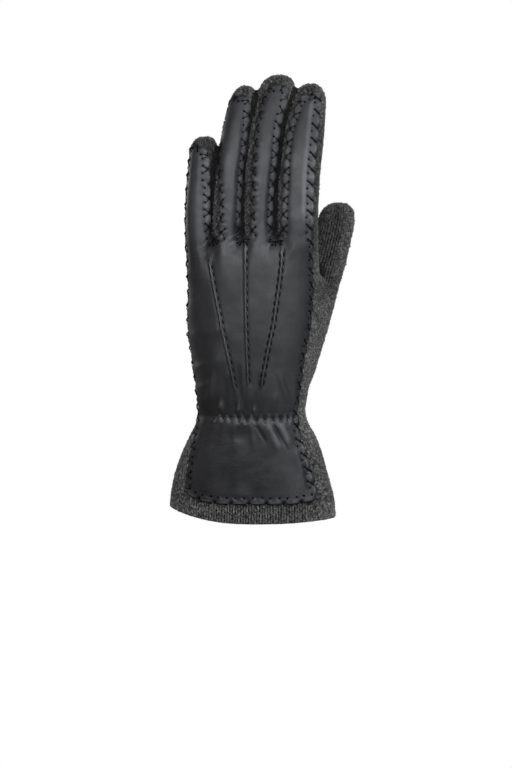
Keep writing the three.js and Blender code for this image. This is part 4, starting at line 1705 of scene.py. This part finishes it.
def fork_stars():
    """Threads that fan out below each fork between two fingers."""
    paths = []
    holes = []
    for k in range(3):
        fork = leather_base[hand_index[-1, strip_starts[2 * k + 1] : strip_starts[2 * k + 2] + 1]]
        middle = fork[:, 0].mean()
        bottom = fork[:, 2].min()
        for angle, length in ((-68, 3.8), (-34, 3.8), (4, 3.4), (38, 4.0), (70, 3.6)):
            turn = math.radians(angle + random.normal(0, 5))
            reach = np.linspace(length, -0.6, 6)
            z = bottom - np.cos(turn) * reach
            guess = hand_point(z, angle_at_x(z, middle + np.sin(turn) * reach), 0, domed=False)
            path, normals = over_leather(guess, 0.3)
            paths.append(path + normals * np.array([-0.1, 0.18, 0.24, 0.28, 0.3, 0.1])[:, None])
            holes.append((path[0], normals[0]))
    return paths, holes


edge_strands, stitch_holes = edge_stitches()
star_paths, star_holes = fork_stars()
for name, paths in edge_strands.items():
    add_tubes(name, paths)
add_tubes("hem_thread", hem_thread())
add_tubes("fork_stitches", star_paths)

HOLE_RADIUS = 0.58
HOLE_SIDES = 8


def add_holes():
    """Dark cones where the threads go into the leather: painted shade of the holes, with the black thread in
    them.
    """
    angles = (np.arange(HOLE_SIDES) / HOLE_SIDES * 2 * np.pi)[:, None]
    j = np.arange(HOLE_SIDES)
    fan = np.stack([j, (j + 1) % HOLE_SIDES, np.full(HOLE_SIDES, HOLE_SIDES)], 1)
    parts = []
    for place, normal in stitch_holes + star_holes:
        first = unit(np.cross(normal, [0.2, 0.1, 0.97]))
        second = np.cross(normal, first)
        ring = place + normal * 0.05 + (np.cos(angles) * first + np.sin(angles) * second) * HOLE_RADIUS
        parts.append((np.concatenate([ring, [place + normal * 0.12]]), fan))
    add_mesh("stitch_holes", *joined(parts), hole_shade, "leather")


add_holes()

DASH_LENGTH = 2.9


def tuck_dashes():
    """The running stitches beside the tucks."""
    paths = []
    for k, (low, high) in enumerate(TUCK_ENDS):
        for side in DASH_SIDES[k]:
            for start in np.arange(low + 0.6, high - 1.2, DASH_PITCH):
                z = start + np.linspace(0, DASH_LENGTH, 5) + random.normal(0, 0.15)
                x = tuck_tables[k].at(z)[:, 0]
                slope = np.gradient(x, z)
                guess = hand_point(z, angle_at_x(z, x + side / np.sqrt(1 + slope**2)), 0)
                path, normals = over_leather(guess, 1.0)
                lift = np.array([-0.15, 0.14, 0.2, 0.14, -0.15])
                paths.append(path + normals * lift[:, None])
    return paths


add_tubes("tuck_stitches", tuck_dashes())

# Loose fibres that stand off the knitting.
FIBRES = 12000
FIBRE_HALF_WIDTH = 0.022


def add_fuzz():
    """Fine two-part strips of fibre, each rooted at a stitch and bent to one side."""
    places = np.concatenate(knit_places)
    chosen = places[random.integers(0, len(places), FIBRES)]
    origin = chosen[:, :3] + random.normal(0, 0.4, (FIBRES, 3))
    normal = chosen[:, 3:]
    heading = unit(random.normal(0, 1, (FIBRES, 3)) + normal * 0.9)
    bend = unit(random.normal(0, 1, (FIBRES, 3)))
    length = random.uniform(0.7, 1.9, FIBRES)[:, None]
    across = unit(np.cross(heading, bend)) * FIBRE_HALF_WIDTH
    rows = []
    for t in (0.0, 0.5, 1.0):
        middle = origin + normal * 0.15 + heading * length * t + bend * length * 0.3 * t * t
        rows.append(middle - across * (1 - 0.6 * t))
        rows.append(middle + across * (1 - 0.6 * t))
    points = np.stack(rows, 1).reshape(-1, 3)
    strip = np.array([[0, 1, 3, 2], [2, 3, 5, 4]])
    faces = (strip[None] + (np.arange(FIBRES) * len(rows))[:, None, None]).reshape(-1, 4)
    made = add_mesh("knit_fuzz", points, faces, wool, "knit")
    add_attribute(made, "tone", np.full(len(points), 0.75))


add_fuzz()

# Floor, background and light.
FLOOR_LEVEL = -167
FLOOR_REACH = 12000


def lit_and_seen(tree, lit, seen, output):
    """Light meets one shader, and the camera sees the other."""
    path = tree.nodes.new("ShaderNodeLightPath")
    mix = tree.nodes.new("ShaderNodeMixShader")
    tree.links.new(path.outputs["Is Camera Ray"], mix.inputs["Fac"])
    tree.links.new(lit, mix.inputs[1])
    tree.links.new(seen, mix.inputs[2])
    tree.links.new(mix.outputs["Shader"], output.inputs["Surface"])


def glowing(tree, kind, color, strength):
    """The only output of a new background or emission node."""
    node = tree.nodes.new(kind)
    node.inputs["Color"].default_value = (*color, 1)
    node.inputs["Strength"].default_value = strength
    return node.outputs[0]


def make_floor():
    """A plain pale floor, which the camera sees as white."""
    material, tree, shader = new_material("floor", 0.9, 0.1)
    tone = noise(tree, 3, object_place(tree), Detail=2.0)
    tree.links.new(ramp(tree, tone, (0.3, 0.60), (0.7, 0.64)), shader.inputs["Base Color"])
    glow = glowing(tree, "ShaderNodeEmission", (1, 1, 1), 1.0)
    lit_and_seen(tree, shader.outputs["BSDF"], glow, tree.nodes["Material Output"])
    corners = ((-1, -1), (1, -1), (1, 1), (-1, 1))
    points = np.array([(x * FLOOR_REACH, y * FLOOR_REACH, FLOOR_LEVEL) for x, y in corners], float)
    floor = add_mesh("floor", points, np.array([[0, 1, 2, 3]]), material)
    floor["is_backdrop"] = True


make_floor()


def make_world():
    """White behind the glove, and a dimmer even light on it."""
    world = bpy.data.worlds.new("world")
    bpy.context.scene.world = world
    world.use_nodes = True
    tree = world.node_tree
    tree.nodes.clear()
    seen = glowing(tree, "ShaderNodeBackground", (1, 1, 1), 1.0)
    lit = glowing(tree, "ShaderNodeBackground", (0.97, 0.98, 1), 0.035)
    lit_and_seen(tree, lit, seen, tree.nodes.new("ShaderNodeOutputWorld"))


make_world()

# Name, azimuth and elevation in degrees, distance, width, height, power, colour and the level that it faces.
LIGHTS = [
    ("front_right", 14, 10, 0.45, 0.22, 0.10, 0.65, (0.96, 0.97, 1.0), 0.165),
    ("front_left", -14, 11, 0.5, 0.22, 0.12, 0.8, (0.96, 0.97, 1.0), 0.16),
    ("right", 50, 8, 0.6, 0.20, 0.20, 0.78, (0.92, 0.96, 1.0), 0.15),
    ("right_high", 45, 28, 0.5, 0.16, 0.12, 0.95, (0.93, 0.97, 1.0), 0.17),
    ("right_low", 36, -4, 0.6, 0.16, 0.16, 0.5, (0.95, 0.97, 1.0), -0.07),
    ("left", -60, 8, 1.3, 0.5, 0.5, 0.9, (1, 1, 1), 0.06),
    ("behind", 175, 30, 1.4, 0.8, 0.6, 9, (1, 0.99, 0.98), 0.06),
    ("behind_left", -125, 15, 1.4, 0.6, 0.6, 4, (1, 1, 1), 0.06),
]


def add_light(name, azimuth, elevation, distance, width, height, power, color, level):
    """A soft light that faces a place on the glove's axis."""
    data = bpy.data.lights.new(name, "AREA")
    data.shape = "RECTANGLE"
    data.size = width
    data.size_y = height
    data.energy = power
    data.color = color
    light = bpy.data.objects.new(name, data)
    back = direction(azimuth, elevation)
    light.location = Vector((0, 0, level)) + back * distance
    light.rotation_mode = "QUATERNION"
    light.rotation_quaternion = (-back).to_track_quat("-Z", "Y")
    light.visible_camera = False
    bpy.context.scene.collection.objects.link(light)


for light_row in LIGHTS:
    add_light(*light_row)

bpy.context.scene.view_settings.view_transform = "Standard"

low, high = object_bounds()
